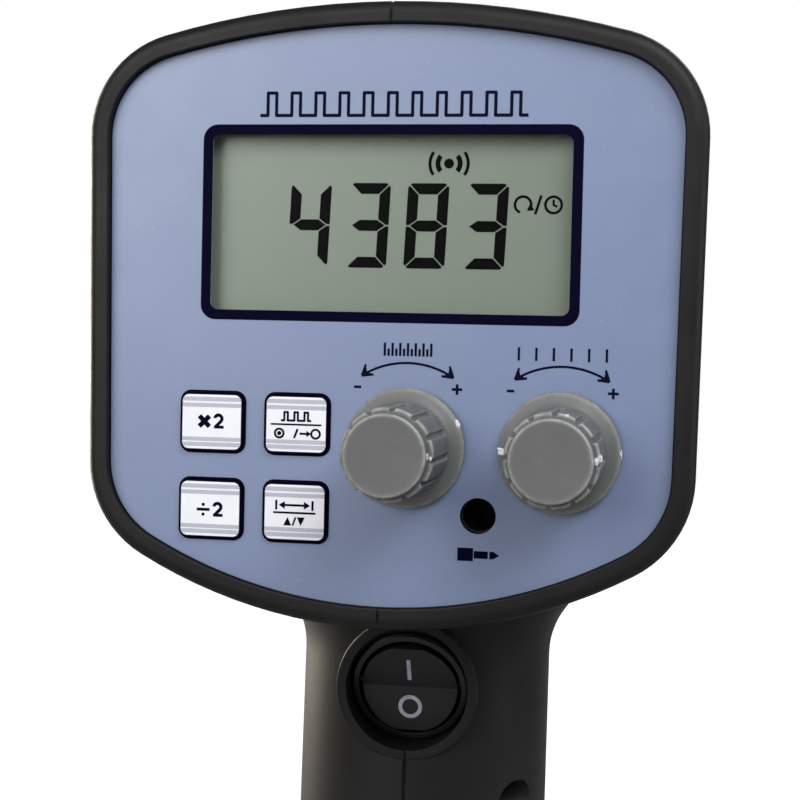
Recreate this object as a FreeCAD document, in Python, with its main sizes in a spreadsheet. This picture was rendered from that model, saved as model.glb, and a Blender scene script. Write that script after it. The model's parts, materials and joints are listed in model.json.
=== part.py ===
"""Hand-held xenon stroboscope, built as an assembly of separate pieces.

Frame: millimetres, +Z up, +X to the user's right, the lamp shines along +Y.
The origin is the centre of the flat foot of the handle.
"""
import FreeCAD, Part
import math
import os
import re
from FreeCAD import Placement, Rotation, Vector

doc = FreeCAD.newDocument("stroboscope")
sheet = doc.addObject("Spreadsheet::Sheet", "sizes")

SIZES = {
    # head: outline of the rear rim, seen from the user's side
    "head_half_width": 60.0,
    "head_lower_half_width": 59.2,
    "head_top": 60.2,
    "head_bottom": 60.2,
    "head_top_arc": 170.0,
    "head_bottom_arc": 99.0,
    "head_top_corner": 20.4,
    "head_bottom_corner": 21.4,
    "head_centre_height": 150.0,
    # head: depth
    "panel_face_depth": 56.0,
    "rim_proud": 2.0,
    "rim_length": 10.0,
    "rim_step": 1.2,
    "rim_round": 2.6,
    "rim_lip": 4.2,
    "barrel_front": 44.0,
    "barrel_front_radius": 47.5,
    "barrel_wall": 2.6,
    "spigot_radius": 46.4,
    "spigot_length": 11.5,
    "spigot_bore": 43.8,
    # handle
    "handle_half_width": 26.5,
    "handle_half_depth": 26.0,
    "handle_rake": 4.0,
    "handle_wall": 2.8,
    "handle_top": 112.0,
    "neck_round": 9.0,
    "foot_half_width": 28.5,
    "foot_half_depth": 28.0,
    "foot_height": 7.0,
    "foot_floor": 4.0,
    "foot_round": 1.6,
    "seam_width": 0.5,
    "seam_depth": 0.45,
    # housing screws, driven along X from the right
    "boss_radius": 5.4,
    "pilot_boss_radius": 3.8,
    "screw_radius": 1.5,
    "screw_head_radius": 2.9,
    "screw_head_height": 2.2,
    "screw_length": 18.0,
    "screw_recess_radius": 4.0,
    "screw_seat": 6.0,
    "screw_slot": 0.8,
    "screw_slot_depth": 1.0,
    "screw_play": 0.2,
    # cooling slots in the flanks of the head
    "vent_width": 2.2,
    "vent_length": 30.0,
    "vent_pitch": 5.5,
    "vent_count": 5,
    "vent_middle": -4.0,
    "vent_height": 18.0,
    # rear panel and its label
    "label_thickness": 0.5,
    "label_inset": 4.5,
    "panel_thickness": 2.5,
    "panel_inset": 3.1,
    "panel_rib": 2.5,
    "panel_rib_inset": 4.9,
    "seat_play": 0.1,
    # display
    "window_width": 69.9,
    "window_height": 34.1,
    "window_up": 17.9,
    "window_corner": 1.6,
    "lens_width": 74.0,
    "lens_height": 38.2,
    "lens_thickness": 1.5,
    "glass_width": 80.0,
    "glass_height": 44.0,
    "glass_thickness": 2.8,
    "glass_gap": 0.2,
    "holder_wall": 2.5,
    "strip_width": 2.4,
    "strip_length": 72.0,
    # control board behind the panel
    "board_depth": 11.0,
    "board_thickness": 1.6,
    "board_inset": 8.0,
    "post_radius": 3.2,
    "post_side": 46.5,
    "post_top": 37.5,
    "post_bottom": -12.0,
    "board_screw_radius": 1.2,
    "board_screw_head": 2.3,
    "board_screw_length": 7.0,
    # keys
    "key_width": 12.4,
    "key_height": 11.2,
    "key_proud": 1.1,
    "key_corner": 1.6,
    "key_edge": 0.4,
    "key_flange": 1.0,
    "key_flange_thickness": 1.0,
    "key_play": 0.3,
    "key_left": -33.9,
    "key_pitch_across": 16.9,
    "key_upper": -21.0,
    "key_pitch_down": 17.0,
    "key_travel": 0.4,
    "key_stem_radius": 1.6,
    "tact_side": 6.2,
    "tact_body_height": 3.6,
    "tact_well_radius": 1.9,
    "tact_well_depth": 1.6,
    # knobs and their potentiometers
    "knob_left": 4.4,
    "knob_right": 33.9,
    "knob_drop": -24.9,
    "knob_clearance": 0.6,
    "knob_skirt_radius": 11.4,
    "knob_skirt_edge": 1.2,
    "knob_skirt_height": 2.4,
    "knob_grip_radius": 9.0,
    "knob_grip_top": 14.6,
    "knob_ledge_radius": 8.3,
    "knob_ledge_top": 15.4,
    "knob_cap_radius": 7.75,
    "knob_cap_top": 17.4,
    "knob_edge": 0.5,
    "knob_hollow_radius": 7.4,
    "knob_hollow_depth": 4.2,
    "knob_grooves": 14,
    "knob_groove_width": 0.9,
    "knob_groove_depth": 0.5,
    "shaft_radius": 3.0,
    "shaft_reach": 13.0,
    "pot_body_radius": 8.2,
    "pot_body_height": 6.4,
    "pot_bushing_radius": 3.5,
    "pot_bushing_height": 3.0,
    "pot_nut_flats": 10.0,
    "pot_nut_height": 2.0,
    "pot_washer_radius": 5.8,
    "pot_washer_thickness": 0.6,
    "pot_pin_width": 1.2,
    "pot_pin_pitch": 5.0,
    "running_gap": 0.05,
    # synchronising socket for a 6.35 mm plug
    "socket_across": 18.6,
    "socket_drop": -37.4,
    "socket_hole_radius": 3.45,
    "socket_bore_radius": 3.25,
    "socket_side": 12.0,
    "socket_length": 26.0,
    "socket_bore_depth": 24.0,
    "contact_width": 2.4,
    "contact_thickness": 0.5,
    # rocker switch in its tilted pocket
    "pocket_height": 71.0,
    "pocket_radius": 13.2,
    "pocket_pad_radius": 15.4,
    "pocket_pad_proud": 1.1,
    "pocket_pad_round": 0.5,
    "pocket_tube_radius": 14.9,
    "pocket_floor": 2.0,
    "switch_tilt": 18.0,
    "bezel_radius": 12.9,
    "bezel_height": 1.6,
    "bezel_opening": 11.3,
    "bezel_edge": 0.5,
    "switch_body_radius": 12.0,
    "switch_body_length": 15.0,
    "switch_well_depth": 7.6,
    "rocker_radius": 10.4,
    "rocker_swing_radius": 10.9,
    "rocker_pivot_depth": 2.2,
    "rocker_middle_height": 0.9,
    "rocker_bottom": 6.6,
    "rocker_half_angle": 9.0,
    "rocker_dish": 0.0,
    "trunnion_radius": 1.5,
    "trunnion_reach": 0.8,
    "terminal_width": 4.8,
    "terminal_thickness": 0.8,
    "terminal_length": 8.0,
    "terminal_pitch": 7.0,
    # lamp end
    "ring_radius": 50.0,
    "ring_length": 18.0,
    "ring_mouth": 42.4,
    "ring_lip": 1.6,
    "ring_round": 1.5,
    "ring_play": 0.15,
    "ring_grips": 36,
    "ring_grip_depth": 0.7,
    "ring_grip_width": 3.0,
    "ring_grip_end": 6.0,
    "lens_radius": 46.0,
    "front_lens_thickness": 3.0,
    "gasket_thickness": 1.0,
    "reflector_mouth": 42.6,
    "reflector_flange": 45.8,
    "reflector_focus": 10.4,
    "reflector_wall": 0.8,
    "reflector_neck": 9.6,
    "tube_radius": 2.6,
    "tube_bend": 5.4,
    "tube_straight": 15.0,
    "tube_base_radius": 14.0,
    "tube_base_length": 9.0,
    "tube_plug_radius": 9.2,
    "tube_plug_length": 5.0,
    # power board and its parts
    "power_board_height": 128.0,
    "power_board_half_width": 40.0,
    "power_board_rear": -38.0,
    "power_board_front": 6.0,
    "rail_grip": 2.0,
    "rail_thickness": 2.0,
    "rail_length": 34.0,
    "capacitor_radius": 8.6,
    "capacitor_length": 32.0,
    "capacitor_left": 12.0,
    "transformer_width": 36.0,
    "transformer_depth": 12.0,
    "transformer_height": 30.0,
    "transformer_leg": 6.0,
    "transformer_left": -36.0,
    "transformer_rear": -30.0,
    "bobbin_play": 0.3,
    "trigger_coil_radius": 5.5,
    "trigger_coil_length": 14.0,
    "fuse_radius": 2.6,
    "fuse_length": 20.0,
    "fuse_cap": 5.0,
    "fuse_rise": 5.0,
    "clip_thickness": 0.5,
    # cord entry in the foot
    "entry_radius": 5.6,
    "entry_flange_radius": 8.6,
    "entry_flange": 1.8,
    "entry_bore": 3.5,
}

for row, (alias, number) in enumerate(SIZES.items(), start=1):
    sheet.set("A%d" % row, alias)
    sheet.set("B%d" % row, str(number))
    sheet.setAlias("B%d" % row, alias)
doc.recompute()


class Size:
    """Reads a driving dimension back from the sheet by its alias."""

    def __getattr__(self, alias):
        return float(sheet.get(alias))


size = Size()
nodes = {}
X_AXIS = Vector(1, 0, 0)
Y_AXIS = Vector(0, 1, 0)
Z_AXIS = Vector(0, 0, 1)
QUARTER = 90.0
FULL_TURN = 360.0


# ---------------------------------------------------------------- helpers
def formula(text):
    """A sheet expression from a formula written with plain alias names."""
    def with_sheet(word):
        return "sizes." + word.group() if word.group() in SIZES else word.group()
    return re.sub(r"[a-z][a-z_]*", with_sheet, text)


def number_of(text):
    return float(sheet.evalExpression(formula(text)))


def node(name, piece, place=Placement()):
    """Names a finished sub-part and puts it in its place."""
    piece.Label = name
    piece.Placement = place
    nodes[name] = piece
    return piece


def feature(name, shape, place=Placement()):
    piece = doc.addObject("Part::Feature", name)
    piece.Shape = shape
    return node(name, piece, place)


def block(name, low, high):
    """A box between two corners, each given as three formulas."""
    box = doc.addObject("Part::Box", name)
    for side, start, end in zip(("Length", "Width", "Height"), low, high):
        box.setExpression(side, formula("(%s) - (%s)" % (end, start)))
    for axis, start in zip("xyz", low):
        box.setExpression("Placement.Base." + axis, formula(start))
    return box


def rod(name, radius, low, high, across="0", up="0"):
    """A cylinder along local Z from low to high."""
    cylinder = doc.addObject("Part::Cylinder", name)
    cylinder.setExpression("Radius", formula(radius))
    cylinder.setExpression("Height", formula("(%s) - (%s)" % (high, low)))
    cylinder.setExpression("Placement.Base.x", formula(across))
    cylinder.setExpression("Placement.Base.y", formula(up))
    cylinder.setExpression("Placement.Base.z", formula(low))
    return cylinder


def join(name, pieces):
    fused = doc.addObject("Part::MultiFuse", name)
    fused.Shapes = pieces
    return fused


def group(name, pieces):
    compound = doc.addObject("Part::Compound", name)
    compound.Links = pieces
    return compound


def cut(name, base, tools):
    result = doc.addObject("Part::Cut", name)
    result.Base = base
    result.Tool = tools[0] if len(tools) == 1 else join(name + "_tools", tools)
    return result


def upright_rounds(name, base, radius):
    """Rounds the four edges of a block that run along local Z."""
    doc.recompute()
    rounded = doc.addObject("Part::Fillet", name)
    rounded.Base = base
    chosen = []
    for index, edge in enumerate(base.Shape.Edges, start=1):
        if abs(edge.tangentAt(edge.FirstParameter).z) > 0.99:
            chosen.append((index, number_of(radius), number_of(radius)))
    rounded.Edges = chosen
    return rounded


def origin_plane(body, role):
    return next(item for item in body.Origin.OriginFeatures if item.Role == role)


def sketch_on(body, name, role, lift="0"):
    sketch = body.newObject("Sketcher::SketchObject", name)
    sketch.AttachmentSupport = (origin_plane(body, role), [""])
    sketch.MapMode = "FlatFace"
    sketch.setExpression("AttachmentOffset.Base.z", formula(lift))
    return sketch


def polygon(sketch, points):
    """A closed outline whose corners are bound to pairs of formulas."""
    corners = [Vector(number_of(across), number_of(up), 0) for across, up in points]
    count = len(corners)
    for index in range(count):
        sketch.addGeometry(Part.LineSegment(corners[index], corners[(index + 1) % count]))
    for index in range(count):
        sketch.addConstraint(Sketch_constraint("Coincident", index, 2, (index + 1) % count, 1))
    for index, (across, up) in enumerate(points):
        bind_point(sketch, index, "DistanceX", -2, across, corners[index].x)
        bind_point(sketch, index, "DistanceY", -1, up, corners[index].y)
    return sketch


def Sketch_constraint(*items):
    import Sketcher
    return Sketcher.Constraint(*items)


def bind_point(sketch, index, kind, axis, text, value):
    if text == "0":
        sketch.addConstraint(Sketch_constraint("PointOnObject", index, 1, axis))
        return
    number = sketch.addConstraint(Sketch_constraint(kind, -1, 1, index, 1, value))
    sketch.setExpression("Constraints[%d]" % number, formula(text))


def circle(sketch, radius, across="0", up="0"):
    centre = Vector(number_of(across), number_of(up), 0)
    index = sketch.addGeometry(Part.Circle(centre, Z_AXIS, number_of(radius)))
    number = sketch.addConstraint(Sketch_constraint("Radius", index, number_of(radius)))
    sketch.setExpression("Constraints[%d]" % number, formula(radius))
    for kind, axis, text, value in (("DistanceX", -2, across, centre.x), ("DistanceY", -1, up, centre.y)):
        if text == "0":
            sketch.addConstraint(Sketch_constraint("PointOnObject", index, 3, axis))
        else:
            number = sketch.addConstraint(Sketch_constraint(kind, -1, 1, index, 3, value))
            sketch.setExpression("Constraints[%d]" % number, formula(text))
    return sketch


def turned(name, profile):
    """A body of revolution about local Z; the profile is (radius, height) formulas."""
    body = doc.addObject("PartDesign::Body", name)
    sketch = polygon(sketch_on(body, name + "_profile", "XZ_Plane"), profile)
    turn = body.newObject("PartDesign::Revolution", name + "_turn")
    turn.Profile = (sketch, [""])
    turn.ReferenceAxis = (sketch, ["V_Axis"])
    turn.Angle = FULL_TURN
    return body


def pocket(body, name, sketch, depth, upward=False):
    """Cuts a sketch into a body and makes sure that material went away."""
    doc.recompute()
    before = body.Shape.Volume
    cutter = body.newObject("PartDesign::Pocket", name)
    cutter.Profile = (sketch, [""])
    cutter.setExpression("Length", formula(depth))
    cutter.Reversed = upward
    doc.recompute()
    if body.Shape.Volume >= before:
        raise RuntimeError(name + " cuts nothing")
    return cutter


def around(body, name, feature_to_repeat, count):
    """Repeats a feature about local Z."""
    pattern = body.newObject("PartDesign::PolarPattern", name)
    pattern.Originals = [feature_to_repeat]
    pattern.Axis = (origin_axis(body), [""])
    pattern.Angle = FULL_TURN
    pattern.setExpression("Occurrences", formula(count))
    body.Tip = pattern
    doc.recompute()
    return pattern


def origin_axis(body):
    return next(item for item in body.Origin.OriginFeatures if item.Role == "Z_Axis")


# ---------------------------------------------------------------- frames
# Panel frame: local x to the right, y up, z out of the panel towards the user.
panel_frame = Placement(Vector(0, -size.panel_face_depth, size.head_centre_height),
                        Rotation(X_AXIS, QUARTER))
# Lamp frame: local z along the beam, origin at the front end of the barrel.
lamp_frame = Placement(Vector(0, size.barrel_front, size.head_centre_height),
                       Rotation(X_AXIS, -QUARTER))


def panel_place(across, up, out=0.0):
    """The panel frame moved within the panel."""
    return panel_frame.multiply(Placement(Vector(across, up, out), Rotation()))


def handle_axis(height):
    """How far the handle's middle line lies towards the lamp at a height."""
    return height * math.tan(math.radians(size.handle_rake))


pocket_face = handle_axis(size.pocket_height) - size.handle_half_depth - size.pocket_pad_proud
pocket_slope = math.tan(math.radians(size.switch_tilt))
switch_seat = pocket_face + size.bezel_height + size.pocket_radius * pocket_slope
switch_frame = Placement(Vector(0, switch_seat, size.pocket_height),
                         Rotation(X_AXIS, QUARTER + size.switch_tilt))


# ---------------------------------------------------------------- outlines
def head_outline(inset, depth):
    """The rim's outline, moved in by inset, as a wire in the plane y = depth."""
    top_radius = size.head_top_arc - inset
    bottom_radius = size.head_bottom_arc - inset
    top_corner = size.head_top_corner - inset
    bottom_corner = size.head_bottom_corner - inset
    top_middle = size.head_top - size.head_top_arc
    bottom_middle = size.head_bottom_arc - size.head_bottom
    top_across = size.head_half_width - size.head_top_corner
    bottom_across = size.head_lower_half_width - size.head_bottom_corner
    top_reach = size.head_top_arc - size.head_top_corner
    bottom_reach = size.head_bottom_arc - size.head_bottom_corner
    upper = Vector(top_across, 0, top_middle + math.sqrt(top_reach ** 2 - top_across ** 2))
    lower = Vector(bottom_across, 0, bottom_middle - math.sqrt(bottom_reach ** 2 - bottom_across ** 2))
    span = upper - lower
    lean = math.asin((bottom_corner - top_corner) / span.Length) - math.atan2(span.x, span.z)
    outward = Vector(math.cos(lean), 0, math.sin(lean))
    top_out = (upper - Vector(0, 0, top_middle)).normalize()
    bottom_out = (lower - Vector(0, 0, bottom_middle)).normalize()

    top_mid = Vector(0, 0, top_middle + top_radius)
    top_end = upper + top_out * top_corner
    corner_mid = upper + (top_out + outward).normalize() * top_corner
    side_top = upper + outward * top_corner
    side_low = lower + outward * bottom_corner
    low_mid = lower + (bottom_out + outward).normalize() * bottom_corner
    low_end = lower + bottom_out * bottom_corner
    bottom_mid = Vector(0, 0, bottom_middle - bottom_radius)

    def at(point, side=1):
        return Vector(side * point.x, depth, size.head_centre_height + point.z)

    edges = [
        Part.Arc(at(top_mid), at(middle_of(top_mid, top_end, Vector(0, 0, top_middle))), at(top_end)),
        Part.Arc(at(top_end), at(corner_mid), at(side_top)),
        Part.LineSegment(at(side_top), at(side_low)),
        Part.Arc(at(side_low), at(low_mid), at(low_end)),
        Part.Arc(at(low_end), at(middle_of(low_end, bottom_mid, Vector(0, 0, bottom_middle))), at(bottom_mid)),
    ]
    mirrored = [
        Part.Arc(at(bottom_mid), at(middle_of(low_end, bottom_mid, Vector(0, 0, bottom_middle)), -1),
                 at(low_end, -1)),
        Part.Arc(at(low_end, -1), at(low_mid, -1), at(side_low, -1)),
        Part.LineSegment(at(side_low, -1), at(side_top, -1)),
        Part.Arc(at(side_top, -1), at(corner_mid, -1), at(top_end, -1)),
        Part.Arc(at(top_end, -1), at(middle_of(top_mid, top_end, Vector(0, 0, top_middle)), -1), at(top_mid)),
    ]
    return Part.Wire([edge.toShape() for edge in edges + mirrored])


def middle_of(start, end, centre):
    """The point half-way along the arc from start to end."""
    radius = (start - centre).Length
    return centre + ((start - centre) + (end - centre)).normalize() * radius


def round_outline(radius, depth):
    """A circle cut at the same bearings as the rim's outline, for lofting to it."""
    centre = Vector(0, depth, size.head_centre_height)
    corners = [vertex.Point for vertex in head_outline(0, depth).OrderedVertexes]
    bearings = [(corner - centre).normalize() for corner in corners]
    points = [centre + bearing * radius for bearing in bearings]
    middles = [centre + (bearings[index] + bearings[(index + 1) % len(bearings)]).normalize() * radius
               for index in range(len(bearings))]
    arcs = [Part.Arc(points[index], middles[index], points[(index + 1) % len(points)]).toShape()
            for index in range(len(points))]
    return Part.Wire(arcs)


def slab_between(wire, end_depth, start_depth):
    return Part.Face(wire).extrude(Vector(0, end_depth - start_depth, 0))


def head_slab(inset, start, end):
    """The rim's outline, moved in by inset, filled from depth start to end."""
    return slab_between(head_outline(inset, start), end, start)


def cylinder_along(axis, radius, start, length):
    return Part.makeCylinder(radius, length, start, axis)


def handle_section(height, half_width, half_depth):
    middle = Vector(0, handle_axis(height), height)
    if half_width >= half_depth:
        ellipse = Part.Ellipse(middle + X_AXIS * half_width, middle + Y_AXIS * half_depth, middle)
    else:
        ellipse = Part.Ellipse(middle + Y_AXIS * half_depth, middle - X_AXIS * half_width, middle)
    return Part.Wire([ellipse.toShape()])


# ---------------------------------------------------------------- housing
crest = -size.panel_face_depth - size.rim_proud
rim_end = crest + size.rim_length
spigot_end = size.barrel_front + size.spigot_length
plate_back = -size.panel_face_depth + size.label_thickness
plate_front = plate_back + size.panel_thickness
rib_front = plate_front + size.seat_play + size.panel_rib
head_middle = Vector(0, 0, size.head_centre_height)


def handle_solid(wall, bottom):
    """The grip with its wall taken off, from bottom up into the head."""
    grip_width = size.handle_half_width - wall
    grip_depth = size.handle_half_depth - wall
    foot_top = handle_section(size.foot_height, size.foot_half_width - wall, size.foot_half_depth - wall)
    blend_height = size.foot_height * 3
    sections = [handle_section(height, grip_width, grip_depth)
                for height in (blend_height, size.pocket_height, size.handle_top)]
    grip = Part.makeLoft([foot_top] + sections, True, True)
    foot = Part.makeLoft([handle_section(bottom, size.foot_half_width - wall, size.foot_half_depth - wall),
                          foot_top], True, True)
    return grip.fuse(foot)


def barrel_solid(wall, start):
    """The head between the rim and the lamp end, with its wall taken off."""
    rear = head_outline(size.rim_step + wall, start)
    front = round_outline(size.barrel_front_radius - wall, size.barrel_front)
    return Part.makeLoft([rear, front], True, True)


def edges_at(shape, test):
    return [edge for edge in shape.Edges if test(edge)]


def rim_band():
    band = head_slab(0, crest, rim_end)
    rear_edges = edges_at(band, lambda edge: edge.BoundBox.YMax < crest + size.seat_play)
    return band.makeFillet(size.rim_round, rear_edges)


def outer_form():
    """The outside of both halves as one solid."""
    grip = handle_solid(0, 0)
    body = barrel_solid(0, rim_end).fuse(grip).removeSplitter()
    underside = size.head_centre_height - size.head_bottom
    neck = edges_at(body, lambda edge: edge.BoundBox.ZMin > underside
                    and edge.BoundBox.ZMax < size.handle_top
                    and edge.BoundBox.YMin > rim_end
                    and edge.BoundBox.YMax < size.barrel_front)
    body = body.makeFillet(size.neck_round, neck)
    foot_edges = edges_at(body, lambda edge: edge.BoundBox.ZMax < size.seat_play)
    body = body.makeFillet(size.foot_round, foot_edges)
    spigot = cylinder_along(Y_AXIS, size.spigot_radius, head_middle + Y_AXIS * size.barrel_front,
                            size.spigot_length)
    pad_start = Vector(0, pocket_face, size.pocket_height)
    pad = cylinder_along(Y_AXIS, size.pocket_pad_radius, pad_start, size.handle_half_depth)
    pad_edge = edges_at(pad, lambda edge: edge.BoundBox.YMax < pocket_face + size.seat_play)
    pad = pad.makeFillet(size.pocket_pad_round, pad_edge)
    return body.fuse([rim_band(), spigot, pad])


def inner_form():
    """What the shell is hollowed by."""
    hollow = barrel_solid(size.barrel_wall, rib_front)
    opening = head_slab(size.rim_lip, crest - size.rim_proud, plate_back)
    plate_groove = head_slab(size.panel_inset - size.seat_play, plate_back, plate_front + size.seat_play)
    rib_opening = head_slab(size.panel_rib_inset, plate_front, rib_front)
    bore = cylinder_along(Y_AXIS, size.spigot_bore, head_middle + Y_AXIS * size.barrel_front, size.spigot_length)
    grip = handle_solid(size.handle_wall, size.foot_floor)
    return hollow.fuse([opening, plate_groove, rib_opening, bore, grip])


def tilted_half_space(offset, outward):
    """A large block on one side of the switch's seat plane, moved by offset."""
    reach = size.head_centre_height
    low = offset if outward else offset - reach
    slab = Part.makeBox(2 * reach, 2 * reach, reach, Vector(-reach, -reach, low))
    slab.Placement = switch_frame
    return slab


def pocket_wall():
    """The tube and sloping floor that carry the switch, inside the grip."""
    start = Vector(0, pocket_face + size.pocket_pad_proud, size.pocket_height)
    tube = cylinder_along(Y_AXIS, size.pocket_tube_radius, start, size.handle_half_depth)
    return tube.common(tilted_half_space(-size.pocket_floor, True))


def pocket_space():
    start = Vector(0, pocket_face - size.handle_half_depth, size.pocket_height)
    well = cylinder_along(Y_AXIS, size.pocket_radius, start, 2 * size.handle_half_depth)
    well = well.common(tilted_half_space(0, True))
    body_hole = Part.makeCylinder(size.switch_body_radius + size.seat_play, 2 * size.pocket_floor,
                                  Vector(0, 0, -2 * size.pocket_floor))
    body_hole.Placement = switch_frame
    return well.fuse(body_hole)


def screw_points():
    """Where the housing screws stand, as (depth, height)."""
    low_grip = 46.0
    high_grip = 84.0
    above = size.head_centre_height
    return [
        (handle_axis(low_grip) - 14.0, low_grip),
        (handle_axis(high_grip) + 15.0, high_grip),
        (30.0, above - 39.0),
        (30.0, above + 39.0),
        (-34.0, above + 48.0),
    ]


def boss_set(radius, side):
    """Screw bosses from the seam to the wall on one side (+1 right, -1 left)."""
    reach = size.head_half_width
    return [cylinder_along(X_AXIS * side, radius, Vector(0, depth, height), reach)
            for depth, height in screw_points()]


def screw_holes(side):
    holes = []
    reach = size.head_half_width
    for depth, height in screw_points():
        seam_point = Vector(0, depth, height)
        if side > 0:
            holes.append(cylinder_along(X_AXIS, size.screw_radius + size.screw_play, seam_point, reach))
            holes.append(cylinder_along(X_AXIS, size.screw_recess_radius,
                                        seam_point + X_AXIS * size.screw_seat, reach))
        else:
            depth_of_thread = size.screw_length - size.screw_seat + size.screw_play
            holes.append(cylinder_along(-X_AXIS, size.screw_radius, seam_point, depth_of_thread))
    return holes


def vent_slots(side):
    slots = []
    reach = size.head_half_width
    count = int(size.vent_count)
    for index in range(count):
        height = size.head_centre_height + size.vent_height - index * size.vent_pitch
        start = Vector(0, size.vent_middle - size.vent_length / 2, height)
        slot = Part.makeBox(reach, size.vent_length, size.vent_width, start)
        long_edges = edges_at(slot, lambda edge: abs(edge.tangentAt(0).x) > 0.99)
        slot = slot.makeFillet(size.vent_width / 2 - size.seat_play, long_edges)
        slot.translate(X_AXIS * (reach / 2 if side > 0 else -reach * 3 / 2))
        slots.append(slot)
    return slots


def board_rails(side):
    """Two ledges on one flank that grip the edge of the power board."""
    rails = []
    board_top = size.power_board_height + size.board_thickness
    start_across = size.power_board_half_width - size.rail_grip
    for low in (size.power_board_height - size.rail_thickness - size.seat_play, board_top + size.seat_play):
        start = Vector(start_across, size.power_board_rear, low)
        rail = Part.makeBox(size.head_half_width - start_across, size.rail_length, size.rail_thickness, start)
        if side < 0:
            rail = rail.mirror(Vector(0, 0, 0), X_AXIS)
        rails.append(rail)
    return rails


def cord_entry():
    """The stepped hole through the foot that holds the cord bushing."""
    flange = size.entry_flange_radius + size.seat_play
    recess = Part.makeCylinder(flange, size.entry_flange, Vector(0, 0, 0))
    throat = Part.makeCylinder(size.entry_radius + size.seat_play, size.foot_floor, Vector(0, 0, 0))
    return recess.fuse(throat)


def housing_half(name, side, outer, hollow, groove):
    """One half of the clamshell, from the whole form and the seam plane."""
    reach = size.head_half_width * 2
    corner = Vector(0 if side > 0 else -reach, -reach, -reach)
    half_space = Part.makeBox(reach, 2 * reach, 3 * reach, corner)
    inside = outer.cut(pocket_space())
    shell = outer.cut(hollow)
    radius = size.boss_radius if side > 0 else size.pilot_boss_radius
    shell = shell.fuse([pocket_wall()] + boss_set(radius, side) + board_rails(side)).common(inside)
    shell = shell.cut([cord_entry(), lamp_clearance()] + screw_holes(side) + vent_slots(side))
    half = shell.common(half_space).cut(groove)
    return feature(name, max(half.Solids, key=lambda solid: solid.Volume))


def lamp_clearance():
    """Keeps the spigot's bore and the space round the reflector open."""
    return cylinder_along(Y_AXIS, size.spigot_bore, head_middle + Y_AXIS * size.barrel_front, size.spigot_length)


def seam_groove(outer):
    """A shallow step along the outside of the seam."""
    width = size.seam_width / 2
    reach = size.head_half_width * 2
    slab = Part.makeBox(2 * width, 2 * reach, 3 * reach, Vector(-width, -reach, -reach))
    skin = slab.common(outer)
    core = handle_solid(size.seam_depth, size.seam_depth)
    core = core.fuse([barrel_solid(size.seam_depth, rim_end - size.rim_step),
                      head_slab(size.seam_depth, crest + size.seam_depth, rim_end),
                      cylinder_along(Y_AXIS, size.spigot_radius, head_middle + Y_AXIS * size.barrel_front,
                                     size.spigot_length)])
    neck = Part.makeBox(2 * width, 2 * size.handle_half_depth, size.neck_round * 2,
                        Vector(-width, -size.handle_half_depth, size.pocket_height + size.pocket_pad_radius))
    return skin.cut(core.fuse(neck))


whole_form = outer_form()
whole_hollow = inner_form()
whole_groove = seam_groove(whole_form)
housing_half("housing_left", -1, whole_form, whole_hollow, whole_groove)
housing_half("housing_right", 1, whole_form, whole_hollow, whole_groove)


def housing_screws():
    """Self-tapping pan-head screws along X, one in each boss."""
    screws = []
    for depth, height in screw_points():
        seat = Vector(size.screw_seat, depth, height)
        shank = cylinder_along(-X_AXIS, size.screw_radius, seat, size.screw_length)
        tip = edges_at(shank, lambda edge: edge.BoundBox.XMax < seat.x - size.screw_length + size.seat_play)
        shank = shank.makeChamfer(size.screw_radius / 2, tip)
        head = cylinder_along(X_AXIS, size.screw_head_radius, seat, size.screw_head_height)
        crown = edges_at(head, lambda edge: edge.BoundBox.XMin > seat.x + size.seat_play
                         and edge.BoundBox.YLength > size.screw_radius)
        head = head.makeFillet(size.screw_slot, crown)
        top = seat.x + size.screw_head_height - size.screw_slot_depth
        screw = shank.fuse(head)
        for turn in (0, QUARTER):
            slot = Part.makeBox(size.screw_head_height, 2 * size.screw_radius, size.screw_slot,
                                Vector(top, depth - size.screw_radius, height - size.screw_slot / 2))
            slot.rotate(Vector(top, depth, height), X_AXIS, turn)
            screw = screw.cut(slot)
        screws.append(screw.removeSplitter())
    return Part.makeCompound(screws)


feature("housing_screws", housing_screws())


# ---------------------------------------------------------------- rear panel
def panel_hole_block(width, height, across, up, corner):
    """A rounded rectangular cutter through the panel, in the head's frame."""
    deep = size.panel_face_depth
    cutter = Part.makeBox(width, height, deep, Vector(-width / 2, -height / 2, -deep / 2))
    cutter = cutter.makeFillet(corner, edges_at(cutter, lambda edge: abs(edge.tangentAt(0).z) > 0.99))
    cutter.Placement = panel_place(across, up)
    return cutter


def panel_hole_round(radius, across, up):
    deep = size.panel_face_depth
    cutter = Part.makeCylinder(radius, deep, Vector(0, 0, -deep / 2))
    cutter.Placement = panel_place(across, up)
    return cutter


KEYS = {
    "key_times_two": (0, 0),
    "key_trigger": (1, 0),
    "key_divide_two": (0, 1),
    "key_range": (1, 1),
}


def key_centre(column, line):
    return (size.key_left + column * size.key_pitch_across, size.key_upper - line * size.key_pitch_down)


def key_openings():
    width = size.key_width + 2 * size.key_play
    height = size.key_height + 2 * size.key_play
    return [panel_hole_block(width, height, *key_centre(*cell), size.key_corner + size.key_play)
            for cell in KEYS.values()]


def knob_openings():
    radius = size.pot_bushing_radius + size.seat_play
    return [panel_hole_round(radius, across, size.knob_drop) for across in (size.knob_left, size.knob_right)]


def socket_opening():
    return panel_hole_round(size.socket_hole_radius, size.socket_across, size.socket_drop)


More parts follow.
